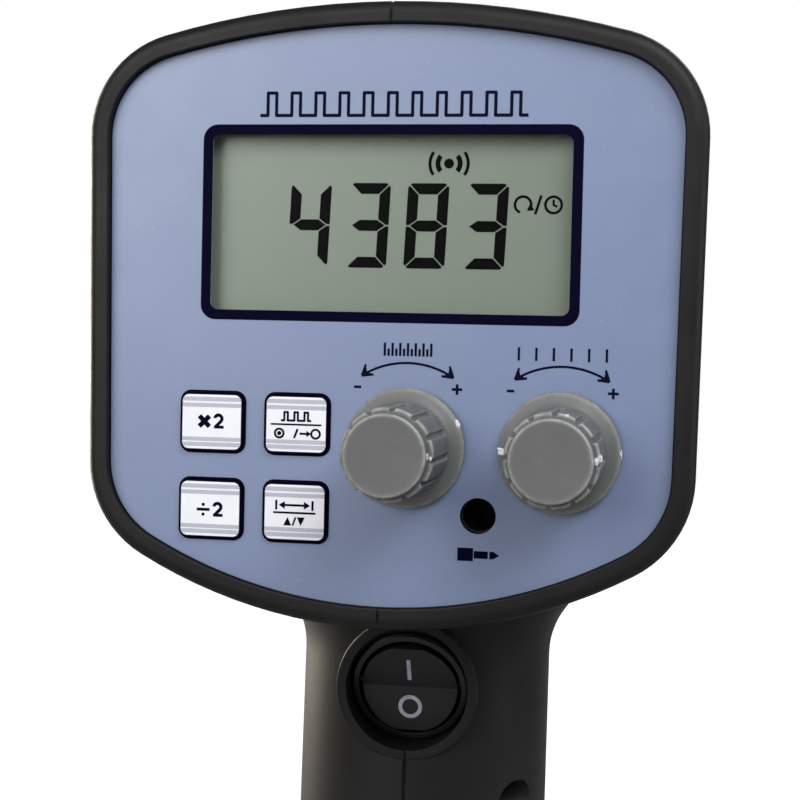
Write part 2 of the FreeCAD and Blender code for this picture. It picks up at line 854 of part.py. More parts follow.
def rear_panel():
    """The moulded plate in the rim's groove, with posts for the control board."""
    plate = head_slab(size.panel_inset, plate_back, plate_front)
    posts = []
    for across in (-size.post_side, size.post_side):
        for up in (size.post_bottom, size.post_top):
            post = Part.makeCylinder(size.post_radius, size.board_depth - size.label_thickness,
                                     Vector(0, 0, -size.board_depth))
            post.Placement = panel_place(across, up)
            pilot = Part.makeCylinder(size.board_screw_radius, size.board_screw_length,
                                      Vector(0, 0, -size.board_depth))
            pilot.Placement = panel_place(across, up)
            posts.append((post, pilot))
    plate = plate.fuse([post for post, pilot in posts])
    lens_hole = panel_hole_block(size.lens_width + size.seat_play, size.lens_height + size.seat_play,
                                 0, size.window_up, size.window_corner)
    cutters = [pilot for post, pilot in posts] + key_openings() + knob_openings()
    return plate.cut(cutters + [socket_opening(), lens_hole]).removeSplitter()


def panel_label():
    """The printed film over the panel, open at the display, keys, knobs and socket."""
    film = head_slab(size.label_inset, -size.panel_face_depth, plate_back)
    window = panel_hole_block(size.window_width, size.window_height, 0, size.window_up, size.window_corner)
    return film.cut(key_openings() + knob_openings() + [socket_opening(), window]).removeSplitter()


feature("rear_panel", rear_panel())
feature("panel_label", panel_label())


# ---------------------------------------------------------------- display
def centred_block(name, width, height, low, high, up="window_up"):
    """A block centred across the panel, between two levels of the panel frame."""
    return block(name, ("-(%s) / 2" % width, "%s - (%s) / 2" % (up, height), low),
                 ("(%s) / 2" % width, "%s + (%s) / 2" % (up, height), high))


LENS_TOP = "-label_thickness"
LENS_LOW = "-label_thickness - lens_thickness"
GLASS_TOP = "-label_thickness - panel_thickness - glass_gap"
GLASS_LOW = "-label_thickness - panel_thickness - glass_gap - glass_thickness"
BOARD_TOP = "-board_depth"
BOARD_LOW = "-board_depth - board_thickness"

lens = centred_block("lens_block", "lens_width", "lens_height", LENS_LOW, LENS_TOP)
node("display_window", upright_rounds("display_window", lens, "window_corner"), panel_frame)

glass = centred_block("glass_block", "glass_width", "glass_height", GLASS_LOW, GLASS_TOP)
node("display_glass", group("display_glass", [glass]), panel_frame)

HOLDER_TOP = "-label_thickness - panel_thickness - glass_gap / 2"
holder = centred_block("holder_block", "glass_width + 2 * holder_wall", "glass_height + 2 * holder_wall",
                       BOARD_TOP, HOLDER_TOP)
holder_seat = centred_block("holder_seat", "glass_width + 2 * seat_play", "glass_height + 2 * seat_play",
                            GLASS_LOW, HOLDER_TOP)
holder_light = centred_block("holder_light", "strip_length + 2 * seat_play",
                             "glass_height - 2 * holder_wall", BOARD_TOP, GLASS_TOP)
node("display_holder", cut("display_holder", holder, [holder_seat, holder_light]), panel_frame)

strips = []
for side, sign in (("top", "+"), ("bottom", "-")):
    middle = "(window_up %s (glass_height / 2 - holder_wall - strip_width / 2 - seat_play))" % sign
    strips.append(block("strip_" + side, ("-strip_length / 2", middle + " - strip_width / 2", BOARD_TOP),
                        ("strip_length / 2", middle + " + strip_width / 2", GLASS_LOW)))
node("contact_strips", group("contact_strips", strips), panel_frame)


# ---------------------------------------------------------------- control board
def control_board():
    """A board cut to the rim's outline, open round the synchronising socket."""
    rear = size.board_depth - size.panel_face_depth
    plate = head_slab(size.board_inset, rear, rear + size.board_thickness)
    holes = [panel_hole_round(size.board_screw_radius + size.screw_play, across, up)
             for across in (-size.post_side, size.post_side) for up in (size.post_bottom, size.post_top)]
    side = size.socket_side + size.board_thickness
    holes.append(panel_hole_block(side, side, size.socket_across, size.socket_drop, size.seat_play))
    return plate.cut(holes).removeSplitter()


def board_screws():
    screws = []
    for index, across in enumerate(("-post_side", "post_side")):
        for line, up in enumerate(("post_bottom", "post_top")):
            tag = "%d%d" % (index, line)
            head = rod("board_head_" + tag, "board_screw_head", BOARD_LOW + " - board_screw_radius",
                       BOARD_LOW, across, up)
            shank = rod("board_shank_" + tag, "board_screw_radius", BOARD_LOW,
                        BOARD_LOW + " + board_screw_length", across, up)
            screws.append(join("board_screw_" + tag, [head, shank]))
    return group("board_screws", screws)


feature("control_board", control_board())
node("board_screws", board_screws(), panel_frame)


# ---------------------------------------------------------------- keys
def key(name):
    """A key cap with a retaining flange and the stem that presses its switch."""
    cap = block(name + "_cap", ("-key_width / 2", "-key_height / 2", "-label_thickness - panel_thickness - key_play"),
                ("key_width / 2", "key_height / 2", "key_proud"))
    cap = upright_rounds(name + "_rounded", cap, "key_corner")
    flange_top = "(-label_thickness - panel_thickness - key_play)"
    reach = "(key_play + key_flange)"
    flange = block(name + "_flange",
                   ("-key_width / 2 - " + reach, "-key_height / 2 - " + reach, flange_top + " - key_flange_thickness"),
                   ("key_width / 2 + " + reach, "key_height / 2 + " + reach, flange_top))
    stem = rod(name + "_stem", "key_stem_radius",
               "-board_depth + tact_body_height - tact_well_depth + key_travel + key_play",
               flange_top + " - key_flange_thickness")
    whole = join(name + "_whole", [cap, flange, stem])
    doc.recompute()
    top = number_of("key_proud")
    edged = doc.addObject("Part::Fillet", name)
    edged.Base = whole
    edged.Edges = [(index, size.key_edge, size.key_edge) for index, edge in enumerate(whole.Shape.Edges, start=1)
                   if edge.BoundBox.ZMin > top - size.seat_play]
    return edged


def tact_switch(name, column, line):
    """The body of a small push switch on the board, with the well for the key's stem."""
    across = "(key_left + %d * key_pitch_across)" % column
    up = "(key_upper - %d * key_pitch_down)" % line
    half = "tact_side / 2"
    body = block(name + "_body", (across + " - " + half, up + " - " + half, BOARD_TOP),
                 (across + " + " + half, up + " + " + half, BOARD_TOP + " + tact_body_height"))
    well = rod(name + "_well", "tact_well_radius", BOARD_TOP + " + tact_body_height - tact_well_depth",
               BOARD_TOP + " + tact_body_height", across, up)
    return cut(name, body, [well])


for name, cell in KEYS.items():
    node(name, key(name), panel_place(*key_centre(*cell)))
node("key_switches", group("key_switches", [tact_switch(name + "_switch", *cell) for name, cell in KEYS.items()]),
     panel_frame)


# ---------------------------------------------------------------- knobs
def knob(name):
    """A skirted knob: fluted grip, small ledge and a flat cap, hollow over the nut."""
    body = turned(name, [
        ("knob_hollow_radius", "0"),
        ("knob_skirt_radius", "0"),
        ("knob_skirt_radius", "knob_skirt_edge"),
        ("knob_grip_radius", "knob_skirt_height"),
        ("knob_grip_radius", "knob_grip_top"),
        ("knob_ledge_radius", "knob_grip_top + knob_edge"),
        ("knob_ledge_radius", "knob_ledge_top"),
        ("knob_cap_radius", "knob_ledge_top"),
        ("knob_cap_radius", "knob_cap_top - knob_edge"),
        ("knob_cap_radius - knob_edge", "knob_cap_top"),
        ("0", "knob_cap_top"),
        ("0", "shaft_reach"),
        ("shaft_radius", "shaft_reach"),
        ("shaft_radius", "knob_hollow_depth"),
        ("knob_hollow_radius", "knob_hollow_depth"),
    ])
    flute = sketch_on(body, name + "_flute", "XY_Plane", "knob_skirt_height")
    inner = "knob_grip_radius - knob_groove_depth"
    outer = "knob_grip_radius + knob_groove_depth"
    polygon(flute, [(inner, "-knob_groove_width / 2"), (outer, "-knob_groove_width / 2"),
                    (outer, "knob_groove_width / 2"), (inner, "knob_groove_width / 2")])
    groove = pocket(body, name + "_groove", flute, "knob_grip_top + knob_edge - knob_skirt_height", True)
    around(body, name + "_grooves", groove, "knob_grooves")
    return body


def knob_shaft(name):
    """The spindle that turns inside the potentiometer's bushing."""
    return turned(name, [
        ("0", "-pot_bushing_height - label_thickness - panel_thickness - knob_clearance"),
        ("shaft_radius - running_gap", "-pot_bushing_height - label_thickness - panel_thickness - knob_clearance"),
        ("shaft_radius - running_gap", "knob_hollow_depth"),
        ("shaft_radius", "knob_hollow_depth"),
        ("shaft_radius", "shaft_reach"),
        ("0", "shaft_reach"),
    ])


POT_TOP = "-label_thickness - panel_thickness"


def potentiometer(name):
    """The fixed part of a potentiometer: can, threaded bushing and three pins."""
    can = rod(name + "_can", "pot_body_radius", POT_TOP + " - pot_body_height", POT_TOP)
    bushing = rod(name + "_bushing", "pot_bushing_radius", POT_TOP, "pot_bushing_height")
    pins = []
    for index in (-1, 0, 1):
        middle = "%d * pot_pin_pitch" % index
        pins.append(block(name + "_pin_%d" % (index + 1),
                          (middle + " - pot_pin_width / 2", "-pot_pin_width / 2", BOARD_TOP),
                          (middle + " + pot_pin_width / 2", "pot_pin_width / 2", POT_TOP + " - pot_body_height")))
    bore = rod(name + "_bore", "shaft_radius", POT_TOP + " - pot_bushing_height - seat_play", "pot_bushing_height")
    return cut(name, join(name + "_whole", [can, bushing] + pins), [bore])


def pot_nut(name, across):
    prism = doc.addObject("Part::Prism", name + "_hex")
    prism.Polygon = 6
    prism.setExpression("Circumradius", formula("pot_nut_flats / sqrt(3)"))
    prism.setExpression("Height", formula("pot_nut_height"))
    prism.setExpression("Placement.Base.x", formula(across))
    prism.setExpression("Placement.Base.y", formula("knob_drop"))
    prism.setExpression("Placement.Base.z", formula("pot_washer_thickness"))
    hole = rod(name + "_hole", "pot_bushing_radius", "pot_washer_thickness",
               "pot_washer_thickness + pot_nut_height", across, "knob_drop")
    return cut(name, prism, [hole])


def pot_washer(name, across):
    disc = rod(name + "_disc", "pot_washer_radius", "0", "pot_washer_thickness", across, "knob_drop")
    hole = rod(name + "_hole", "pot_bushing_radius + seat_play", "0", "pot_washer_thickness", across, "knob_drop")
    return cut(name, disc, [hole])


for side, across in (("fine", size.knob_left), ("coarse", size.knob_right)):
    knob_place = panel_place(across, size.knob_drop, size.knob_clearance)
    node(side + "_knob", knob(side + "_knob"), knob_place)
    node(side + "_shaft", knob_shaft(side + "_shaft"), knob_place)
    node(side + "_potentiometer", potentiometer(side + "_potentiometer"), panel_place(across, size.knob_drop))
node("pot_nuts", group("pot_nuts", [pot_nut("fine_nut", "knob_left"), pot_nut("coarse_nut", "knob_right")]),
     panel_frame)
node("pot_washers", group("pot_washers", [pot_washer("fine_washer", "knob_left"),
                                          pot_washer("coarse_washer", "knob_right")]), panel_frame)


# ---------------------------------------------------------------- socket
SOCKET_TOP = "-label_thickness - panel_thickness"


def sync_socket():
    half = "socket_side / 2"
    body = block("socket_body", ("-" + half, "-" + half, SOCKET_TOP + " - socket_length"), (half, half, SOCKET_TOP))
    bore = rod("socket_bore", "socket_bore_radius", SOCKET_TOP + " - socket_bore_depth", SOCKET_TOP)
    slots = []
    for index, depth in enumerate(("socket_bore_depth / 3", "socket_bore_depth * 3 / 4")):
        sign = "-" if index else ""
        low = "-" + half if index else "socket_bore_radius - contact_width / 2"
        high = "-socket_bore_radius + contact_width / 2" if index else half
        slots.append(block("socket_slot_%d" % index,
                           ("-contact_width / 2 - seat_play", low, "%s - %s - contact_width" % (SOCKET_TOP, depth)),
                           ("contact_width / 2 + seat_play", high, "%s - %s + contact_width" % (SOCKET_TOP, depth))))
    return cut("sync_socket", body, [bore] + slots)


def socket_contacts():
    """Two springs in the socket's slots, just outside the plug's bore."""
    contacts = []
    for index, depth in enumerate(("socket_bore_depth / 3", "socket_bore_depth * 3 / 4")):
        near = "socket_bore_radius + running_gap"
        far = near + " + contact_thickness"
        low, high = ("-(%s)" % far, "-(%s)" % near) if index else (near, far)
        contacts.append(block("socket_contact_%d" % index,
                              ("-contact_width / 2", low, "%s - %s - contact_width" % (SOCKET_TOP, depth)),
                              ("contact_width / 2", high, "%s - %s + contact_width" % (SOCKET_TOP, depth))))
    return group("socket_contacts", contacts)


socket_place = panel_place(size.socket_across, size.socket_drop)
node("sync_socket", sync_socket(), socket_place)
node("socket_contacts", socket_contacts(), socket_place)


# ---------------------------------------------------------------- rocker switch
def switch_housing():
    """Round bezel and body with the well in which the rocker swings."""
    body = turned("switch_housing", [
        ("0", "-switch_body_length"),
        ("switch_body_radius - bezel_edge", "-switch_body_length"),
        ("switch_body_radius", "-switch_body_length + bezel_edge"),
        ("switch_body_radius", "0"),
        ("bezel_radius", "0"),
        ("bezel_radius", "bezel_height - bezel_edge"),
        ("bezel_radius - bezel_edge", "bezel_height"),
        ("bezel_opening", "bezel_height"),
        ("bezel_opening", "-switch_well_depth"),
        ("0", "-switch_well_depth"),
    ])
    side = sketch_on(body, "trunnion_holes", "YZ_Plane")
    circle(side, "trunnion_radius + running_gap", "0", "-rocker_pivot_depth")
    hole = body.newObject("PartDesign::Pocket", "trunnion_bore")
    hole.Profile = (side, [""])
    hole.setExpression("Length", formula("2 * (bezel_opening + trunnion_reach / 2)"))
    hole.Midplane = True
    return body


def rocker():
    """The paddle: a shallow V across a disc, pressed at its upper half, on two trunnions."""
    pivot = Vector(0, 0, -size.rocker_pivot_depth)
    height = 2 * size.rocker_bottom
    disc = Part.makeCylinder(size.rocker_radius, 2 * height, Vector(0, 0, -size.rocker_bottom))
    swing = cylinder_along(X_AXIS, size.rocker_swing_radius, pivot - X_AXIS * height, 2 * height)
    skirt = disc.common(swing)
    rise = math.tan(math.radians(size.rocker_half_angle))
    reach = 2 * size.rocker_radius
    profile = Part.makePolygon([
        Vector(-reach, -reach, -size.rocker_bottom),
        Vector(-reach, reach, -size.rocker_bottom),
        Vector(-reach, reach, size.rocker_middle_height + reach * rise),
        Vector(-reach, 0, size.rocker_middle_height),
        Vector(-reach, -reach, size.rocker_middle_height + reach * rise),
        Vector(-reach, -reach, -size.rocker_bottom),
    ])
    paddle = Part.Face(profile).extrude(X_AXIS * 2 * reach)
    floor = cylinder_along(X_AXIS, size.rocker_bottom - size.rocker_pivot_depth, pivot - X_AXIS * height, 2 * height)
    top_half = Part.makeBox(2 * reach, 2 * reach, 2 * reach, Vector(-reach, -reach, -size.rocker_pivot_depth))
    paddle = paddle.common(skirt).common(top_half.fuse(floor))
    length = 2 * (size.bezel_opening + size.trunnion_reach / 2 - size.running_gap)
    trunnion = cylinder_along(X_AXIS, size.trunnion_radius, pivot - X_AXIS * (length / 2), length)
    paddle = paddle.fuse(trunnion).removeSplitter()
    paddle.rotate(pivot, X_AXIS, -size.rocker_half_angle)
    return paddle


def switch_terminals():
    """Four flat blades out of the back of the switch."""
    blades = []
    for column, across in enumerate(("-terminal_pitch / 2", "terminal_pitch / 2")):
        for line, up in enumerate(("-terminal_pitch / 2", "terminal_pitch / 2")):
            blades.append(block("blade_%d%d" % (column, line),
                                (across + " - terminal_thickness / 2", up + " - terminal_width / 2",
                                 "-switch_body_length - terminal_length"),
                                (across + " + terminal_thickness / 2", up + " + terminal_width / 2",
                                 "-switch_body_length")))
    return group("switch_terminals", blades)


node("switch_housing", switch_housing(), switch_frame)
feature("switch_rocker", rocker(), switch_frame)
node("switch_terminals", switch_terminals(), switch_frame)


# ---------------------------------------------------------------- lamp end
FLANGE_TOP = "spigot_length + reflector_wall"
LENS_SEAT = FLANGE_TOP + " + gasket_thickness"
LENS_FRONT = LENS_SEAT + " + front_lens_thickness"


def reflector():
    """A deep parabolic dish, pressed from sheet, open at its neck for the tube."""
    focus = size.reflector_focus
    wall = size.reflector_wall
    mouth = size.spigot_length
    vertex = mouth - size.reflector_mouth ** 2 / (4 * focus)
    dish = parabola_solid(focus, vertex, size.reflector_mouth, mouth)
    outer = parabola_solid(focus, vertex - wall, size.reflector_mouth + wall / 2, mouth)
    flange = Part.makeCylinder(size.reflector_flange, wall, Vector(0, 0, mouth))
    flange = flange.cut(Part.makeCylinder(size.reflector_mouth, wall, Vector(0, 0, mouth)))
    neck = Part.makeCylinder(size.reflector_neck, mouth, Vector(0, 0, vertex - mouth / 2))
    return outer.cut(dish).fuse(flange).cut(neck).removeSplitter()


def parabola_solid(focus, vertex, mouth_radius, mouth):
    """The space inside a paraboloid about local Z, closed at its mouth."""
    curve_points = 9
    points = []
    for index in range(curve_points):
        radius = mouth_radius * index / (curve_points - 1)
        points.append(Vector(radius, 0, vertex + (mouth - vertex) * (radius / mouth_radius) ** 2))
    curve = Part.BSplineCurve()
    curve.interpolate(points)
    axis_line = Part.LineSegment(Vector(0, 0, mouth), points[0])
    mouth_line = Part.LineSegment(points[-1], Vector(0, 0, mouth))
    face = Part.Face(Part.Wire([curve.toShape(), mouth_line.toShape(), axis_line.toShape()]))
    return face.revolve(Vector(0, 0, 0), Z_AXIS, FULL_TURN)


def reflector_vertex():
    return size.spigot_length - size.reflector_mouth ** 2 / (4 * size.reflector_focus)


def flash_tube():
    """A glass tube bent to a U, both ends in the base."""
    start = reflector_vertex() + size.reflector_wall
    bend_height = start + size.tube_straight
    left_low = Vector(-size.tube_bend, 0, start)
    left_high = Vector(-size.tube_bend, 0, bend_height)
    right_high = Vector(size.tube_bend, 0, bend_height)
    right_low = Vector(size.tube_bend, 0, start)
    crown = Vector(0, 0, bend_height + size.tube_bend)
    path = Part.Wire([Part.LineSegment(left_low, left_high).toShape(),
                      Part.Arc(left_high, crown, right_high).toShape(),
                      Part.LineSegment(right_high, right_low).toShape()])
    section = Part.Wire([Part.Circle(left_low, Z_AXIS, size.tube_radius).toShape()])
    return path.makePipeShell([section], True, False)


def tube_base():
    """The ceramic plug behind the reflector that carries the tube."""
    seat = reflector_vertex() + size.reflector_wall
    neck_back = seat - size.tube_plug_length
    plug = Part.makeCylinder(size.tube_plug_radius, size.tube_plug_length, Vector(0, 0, neck_back))
    flange = Part.makeCylinder(size.tube_base_radius, size.tube_base_length,
                               Vector(0, 0, neck_back - size.tube_base_length))
    rear_edges = edges_at(flange, lambda edge: edge.BoundBox.ZMax < neck_back - size.seat_play)
    return flange.makeChamfer(size.reflector_wall, rear_edges).fuse(plug).removeSplitter()


def front_ring():
    """The knurled ring that slides over the spigot and holds the lens."""
    mouth = "(%s + ring_lip)" % LENS_FRONT
    body = turned("front_ring", [
        ("spigot_radius + ring_play", "0"),
        ("ring_radius - ring_round / 3", "0"),
        ("ring_radius", "ring_round"),
        ("ring_radius", mouth + " - ring_round"),
        ("ring_radius - ring_round", mouth),
        ("ring_mouth", mouth),
        ("ring_mouth", LENS_FRONT),
        ("spigot_radius + ring_play", LENS_FRONT),
    ])
    notch = sketch_on(body, "ring_notch", "XY_Plane", "ring_round")
    inner = "ring_radius - ring_grip_depth"
    outer = "ring_radius + ring_grip_depth"
    polygon(notch, [(inner, "-ring_grip_width / 2"), (outer, "-ring_grip_width / 2"),
                    (outer, "ring_grip_width / 2"), (inner, "ring_grip_width / 2")])
    groove = pocket(body, "ring_groove", notch, mouth + " - ring_grip_end - ring_round", True)
    around(body, "ring_grooves", groove, "ring_grips")
    return body


def front_lens():
    return turned("front_lens", [
        ("0", LENS_SEAT),
        ("lens_radius", LENS_SEAT),
        ("lens_radius", LENS_FRONT),
        ("0", LENS_FRONT),
    ])


def lens_gasket():
    return turned("lens_gasket", [
        ("reflector_mouth", FLANGE_TOP),
        ("lens_radius", FLANGE_TOP),
        ("lens_radius", LENS_SEAT),
        ("reflector_mouth", LENS_SEAT),
    ])


feature("reflector", reflector(), lamp_frame)
feature("flash_tube", flash_tube(), lamp_frame)
feature("tube_base", tube_base(), lamp_frame)
node("lens_gasket", lens_gasket(), lamp_frame)
node("front_lens", front_lens(), lamp_frame)
node("front_ring", front_ring(), lamp_frame)


# ---------------------------------------------------------------- power board
BOARD_UP = "power_board_height + board_thickness"


def power_board():
    return group("power_board", [block("power_board_plate",
                                       ("-power_board_half_width", "power_board_rear", "power_board_height"),
                                       ("power_board_half_width", "power_board_front", BOARD_UP))])


def capacitors():
    """Two storage capacitors lying side by side on the power board."""
    cans = []
    for index in (0, 1):
        can = doc.addObject("Part::Cylinder", "capacitor_%d" % index)
        can.setExpression("Radius", formula("capacitor_radius"))
        can.setExpression("Height", formula("capacitor_length"))
        middle = Vector(size.capacitor_left + index * 2 * (size.capacitor_radius + size.bobbin_play),
                        size.power_board_rear + size.rail_grip,
                        number_of(BOARD_UP) + size.capacitor_radius)
        can.Placement = Placement(middle, Rotation(X_AXIS, -QUARTER))
        cans.append(can)
    return group("storage_capacitors", cans)


def transformer_core():
    """A laminated shell core: outer frame and middle leg."""
    low = ("transformer_left", "transformer_rear", BOARD_UP)
    high = ("transformer_left + transformer_width", "transformer_rear + transformer_depth",
            BOARD_UP + " + transformer_height")
    frame = block("core_frame", low, high)
    windows = []
    for index in (0, 1):
        shift = "transformer_left + transformer_leg" if index == 0 else \
            "transformer_left + transformer_width / 2 + transformer_leg / 2"
        width = "(transformer_width - 3 * transformer_leg) / 2"
        windows.append(block("core_window_%d" % index,
                             (shift, "transformer_rear", BOARD_UP + " + transformer_leg"),
                             (shift + " + " + width, "transformer_rear + transformer_depth",
                              BOARD_UP + " + transformer_height - transformer_leg")))
    return cut("transformer_core", frame, windows)


def transformer_bobbin():
    """The winding round the core's middle leg, proud of both faces."""
    middle = "(transformer_left + transformer_width / 2)"
    width = "((transformer_width - transformer_leg) / 2 - transformer_leg / 2 - bobbin_play)"
    low_up = BOARD_UP + " + transformer_leg + bobbin_play"
    high_up = BOARD_UP + " + transformer_height - transformer_leg - bobbin_play"
    outer = block("bobbin_block",
                  ("%s - %s" % (middle, width), "transformer_rear - transformer_leg", low_up),
                  ("%s + %s" % (middle, width), "transformer_rear + transformer_depth + transformer_leg", high_up))
    leg = "(transformer_leg / 2 + bobbin_play)"
    space = block("bobbin_space",
                  ("%s - %s" % (middle, leg), "transformer_rear - bobbin_play", low_up),
                  ("%s + %s" % (middle, leg), "transformer_rear + transformer_depth + bobbin_play", high_up))
    return cut("transformer_bobbin", upright_rounds("bobbin_rounded", outer, "bobbin_play * 4"), [space])


def fuse_parts():
    """Glass fuse with end caps, and the clips that hold it above the board."""
    across = size.power_board_half_width - size.rail_grip * 2 - size.fuse_radius
    start = Vector(across - size.fuse_length, size.power_board_front - 2 * size.fuse_radius,
                   number_of(BOARD_UP) + size.fuse_rise)
    glass_radius = size.fuse_radius - size.clip_thickness / 2
    tube = cylinder_along(X_AXIS, glass_radius, start, size.fuse_length)
    caps = [cylinder_along(X_AXIS, size.fuse_radius, start + X_AXIS * shift, size.fuse_cap)
            for shift in (0, size.fuse_length - size.fuse_cap)]
    clips = []
    for shift in (size.clip_thickness, size.fuse_length - size.fuse_cap + size.clip_thickness):
        width = size.fuse_cap - 2 * size.clip_thickness
        outer = cylinder_along(X_AXIS, size.fuse_radius + size.clip_thickness, start + X_AXIS * shift, width)
        foot = Part.makeBox(width, 2 * size.fuse_radius, size.fuse_rise,
                            Vector(start.x + shift, start.y - size.fuse_radius, number_of(BOARD_UP)))
        mouth = Part.makeBox(width, size.fuse_radius, 2 * size.fuse_radius,
                             Vector(start.x + shift, start.y - size.fuse_radius / 2, start.z))
        space = cylinder_along(X_AXIS, size.fuse_radius, start, size.fuse_length)
        clips.append(outer.fuse(foot).cut([mouth, space]).removeSplitter())
    return tube.fuse(caps).removeSplitter(), Part.makeCompound(clips)


def trigger_coil():
    coil = doc.addObject("Part::Cylinder", "trigger_coil_winding")
    coil.setExpression("Radius", formula("trigger_coil_radius"))
    coil.setExpression("Height", formula("trigger_coil_length"))
    middle = Vector(size.transformer_left + size.trigger_coil_radius,
                    size.power_board_front - size.trigger_coil_radius, number_of(BOARD_UP))
    coil.Placement = Placement(middle, Rotation())
    return group("trigger_coil", [coil])


fuse_tube, fuse_clips = fuse_parts()
node("power_board", power_board())
node("storage_capacitors", capacitors())
node("transformer_core", transformer_core())
node("transformer_bobbin", transformer_bobbin())
node("trigger_coil", trigger_coil())
feature("fuse", fuse_tube)
feature("fuse_clips", fuse_clips)


# ---------------------------------------------------------------- cord entry
def cord_bushing():
    """The rubber bushing in the foot, with a flange on each side of the floor."""
    return turned("cord_bushing", [
        ("entry_bore", "0"),
        ("entry_flange_radius", "0"),
        ("entry_flange_radius", "entry_flange"),
        ("entry_radius", "entry_flange"),
        ("entry_radius", "foot_floor"),
        ("entry_flange_radius", "foot_floor"),
        ("entry_flange_radius - entry_flange / 2", "foot_floor + entry_flange"),
        ("entry_bore", "foot_floor + entry_flange"),
    ])


node("cord_bushing", cord_bushing())


# ---------------------------------------------------------------- export
doc.recompute()
for item in doc.Objects:
    if "Invalid" in item.State or "Error" in item.State:
        raise RuntimeError("%s failed: %s" % (item.Label, item.State))
for name, piece in nodes.items():
    if piece.Shape.isNull() or not piece.Shape.isValid() or not piece.Shape.Solids:
        raise RuntimeError(name + " has no valid solid")

os.makedirs("parts", exist_ok=True)
for name, piece in nodes.items():
    piece.Shape.exportStep("parts/%s.step" % name)
    print("%-20s solids %2d  volume %9.1f mm3" % (name, len(piece.Shape.Solids), piece.Shape.Volume))
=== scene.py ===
"""Looks of a hand-held xenon stroboscope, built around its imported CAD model.

Units: the scene is in metres. Sizes of the object, flat drawings and the camera's places are written in
millimetres and multiplied by MM; the lamps and the floor are written in metres.
Panel coordinates: across (to the right) and up from the panel's centre, out towards the user.
"""
import json
import math

import bmesh
import bpy
from mathutils import Matrix, Vector, noise
from mathutils.geometry import delaunay_2d_cdt

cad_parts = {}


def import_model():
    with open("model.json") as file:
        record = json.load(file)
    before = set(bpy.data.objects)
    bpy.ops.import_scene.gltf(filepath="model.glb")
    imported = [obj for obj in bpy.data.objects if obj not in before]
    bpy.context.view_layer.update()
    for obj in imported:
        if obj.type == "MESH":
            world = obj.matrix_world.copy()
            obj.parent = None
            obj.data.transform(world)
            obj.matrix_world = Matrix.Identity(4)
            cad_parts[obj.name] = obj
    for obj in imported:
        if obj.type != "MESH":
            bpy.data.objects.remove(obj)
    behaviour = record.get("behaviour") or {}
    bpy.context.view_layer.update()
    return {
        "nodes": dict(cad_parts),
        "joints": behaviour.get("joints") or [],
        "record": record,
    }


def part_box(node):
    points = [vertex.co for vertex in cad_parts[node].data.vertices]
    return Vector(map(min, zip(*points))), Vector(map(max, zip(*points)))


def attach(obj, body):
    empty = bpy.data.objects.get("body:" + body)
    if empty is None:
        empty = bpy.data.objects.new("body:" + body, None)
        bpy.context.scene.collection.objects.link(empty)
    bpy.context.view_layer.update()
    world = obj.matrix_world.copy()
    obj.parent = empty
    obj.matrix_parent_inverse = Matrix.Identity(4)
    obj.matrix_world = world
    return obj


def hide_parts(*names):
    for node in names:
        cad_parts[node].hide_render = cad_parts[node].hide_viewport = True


MM = 0.001
BODY = "stroboscope"

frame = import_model()


# ---- places read from the frame
def middle(node):
    low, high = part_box(node)
    return (low + high) / 2


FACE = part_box("panel_label")[0].y
CENTRE = Vector((0.0, FACE, middle("panel_label").z))
KEY_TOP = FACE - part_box("key_range")[0].y
GLASS_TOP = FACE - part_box("display_glass")[0].y


def joint(name):
    return next(item for item in frame["joints"] if item["name"] == name)


def panel_place(across=0.0, up=0.0, out=0.0):
    """Turns flat drawings (x, y, 0) into the panel's plane, moved within it."""
    move = Matrix.Translation(CENTRE + Vector((across, -out, up)))
    return move @ Matrix.Rotation(math.radians(90), 4, "X")


def place_on(node, out):
    """The panel's plane, centred on a node that shows through the panel."""
    spot = middle(node) - CENTRE
    return panel_place(spot.x, spot.z, out)


# ---- shader helpers
WHITE = (1.0, 1.0, 1.0)


def tone(colour, factor):
    return tuple(min(1.0, part * factor) for part in colour)


class Graph:
    """A node tree and short ways to add nodes to it."""

    def __init__(self, tree):
        self.tree = tree
        tree.nodes.clear()

    def add(self, kind, settings=None, **inputs):
        """A node with its settings and inputs; an underscore in an input's name stands for a space."""
        node = self.tree.nodes.new(kind)
        for name, value in (settings or {}).items():
            setattr(node, name, value)
        self.set(node, **inputs)
        return node

    def set(self, node, **inputs):
        for name, value in inputs.items():
            self.feed(node.inputs[name.replace("_", " ")], value)

    def feed(self, socket, value):
        """Links an input to an output, or gives it a plain value."""
        if isinstance(value, bpy.types.NodeSocket):
            self.tree.links.new(value, socket)
        else:
            socket.default_value = value

    def math(self, operation, first, second, kind="ShaderNodeMath"):
        made = self.add(kind, {"operation": operation})
        self.feed(made.inputs[0], first)
        self.feed(made.inputs[1], second)
        return made.outputs["Value"]

    def dot(self, first, second):
        return self.math("DOT_PRODUCT", first, second, "ShaderNodeVectorMath")

    def mix(self, share, first, second):
        """A blend of two colours, each a plain colour or a socket."""
        made = self.add("ShaderNodeMix", {"data_type": "RGBA"}, Factor=share)
        for socket, value in zip((made.inputs[6], made.inputs[7]), (first, second)):
            self.feed(socket, value if isinstance(value, bpy.types.NodeSocket) else (*value, 1.0))
        return made.outputs[2]

    def blend(self, share, first, second):
        """A blend of two shaders."""
        made = self.add("ShaderNodeMixShader", Fac=share)
        self.feed(made.inputs[1], first)
        self.feed(made.inputs[2], second)
        return made.outputs["Shader"]


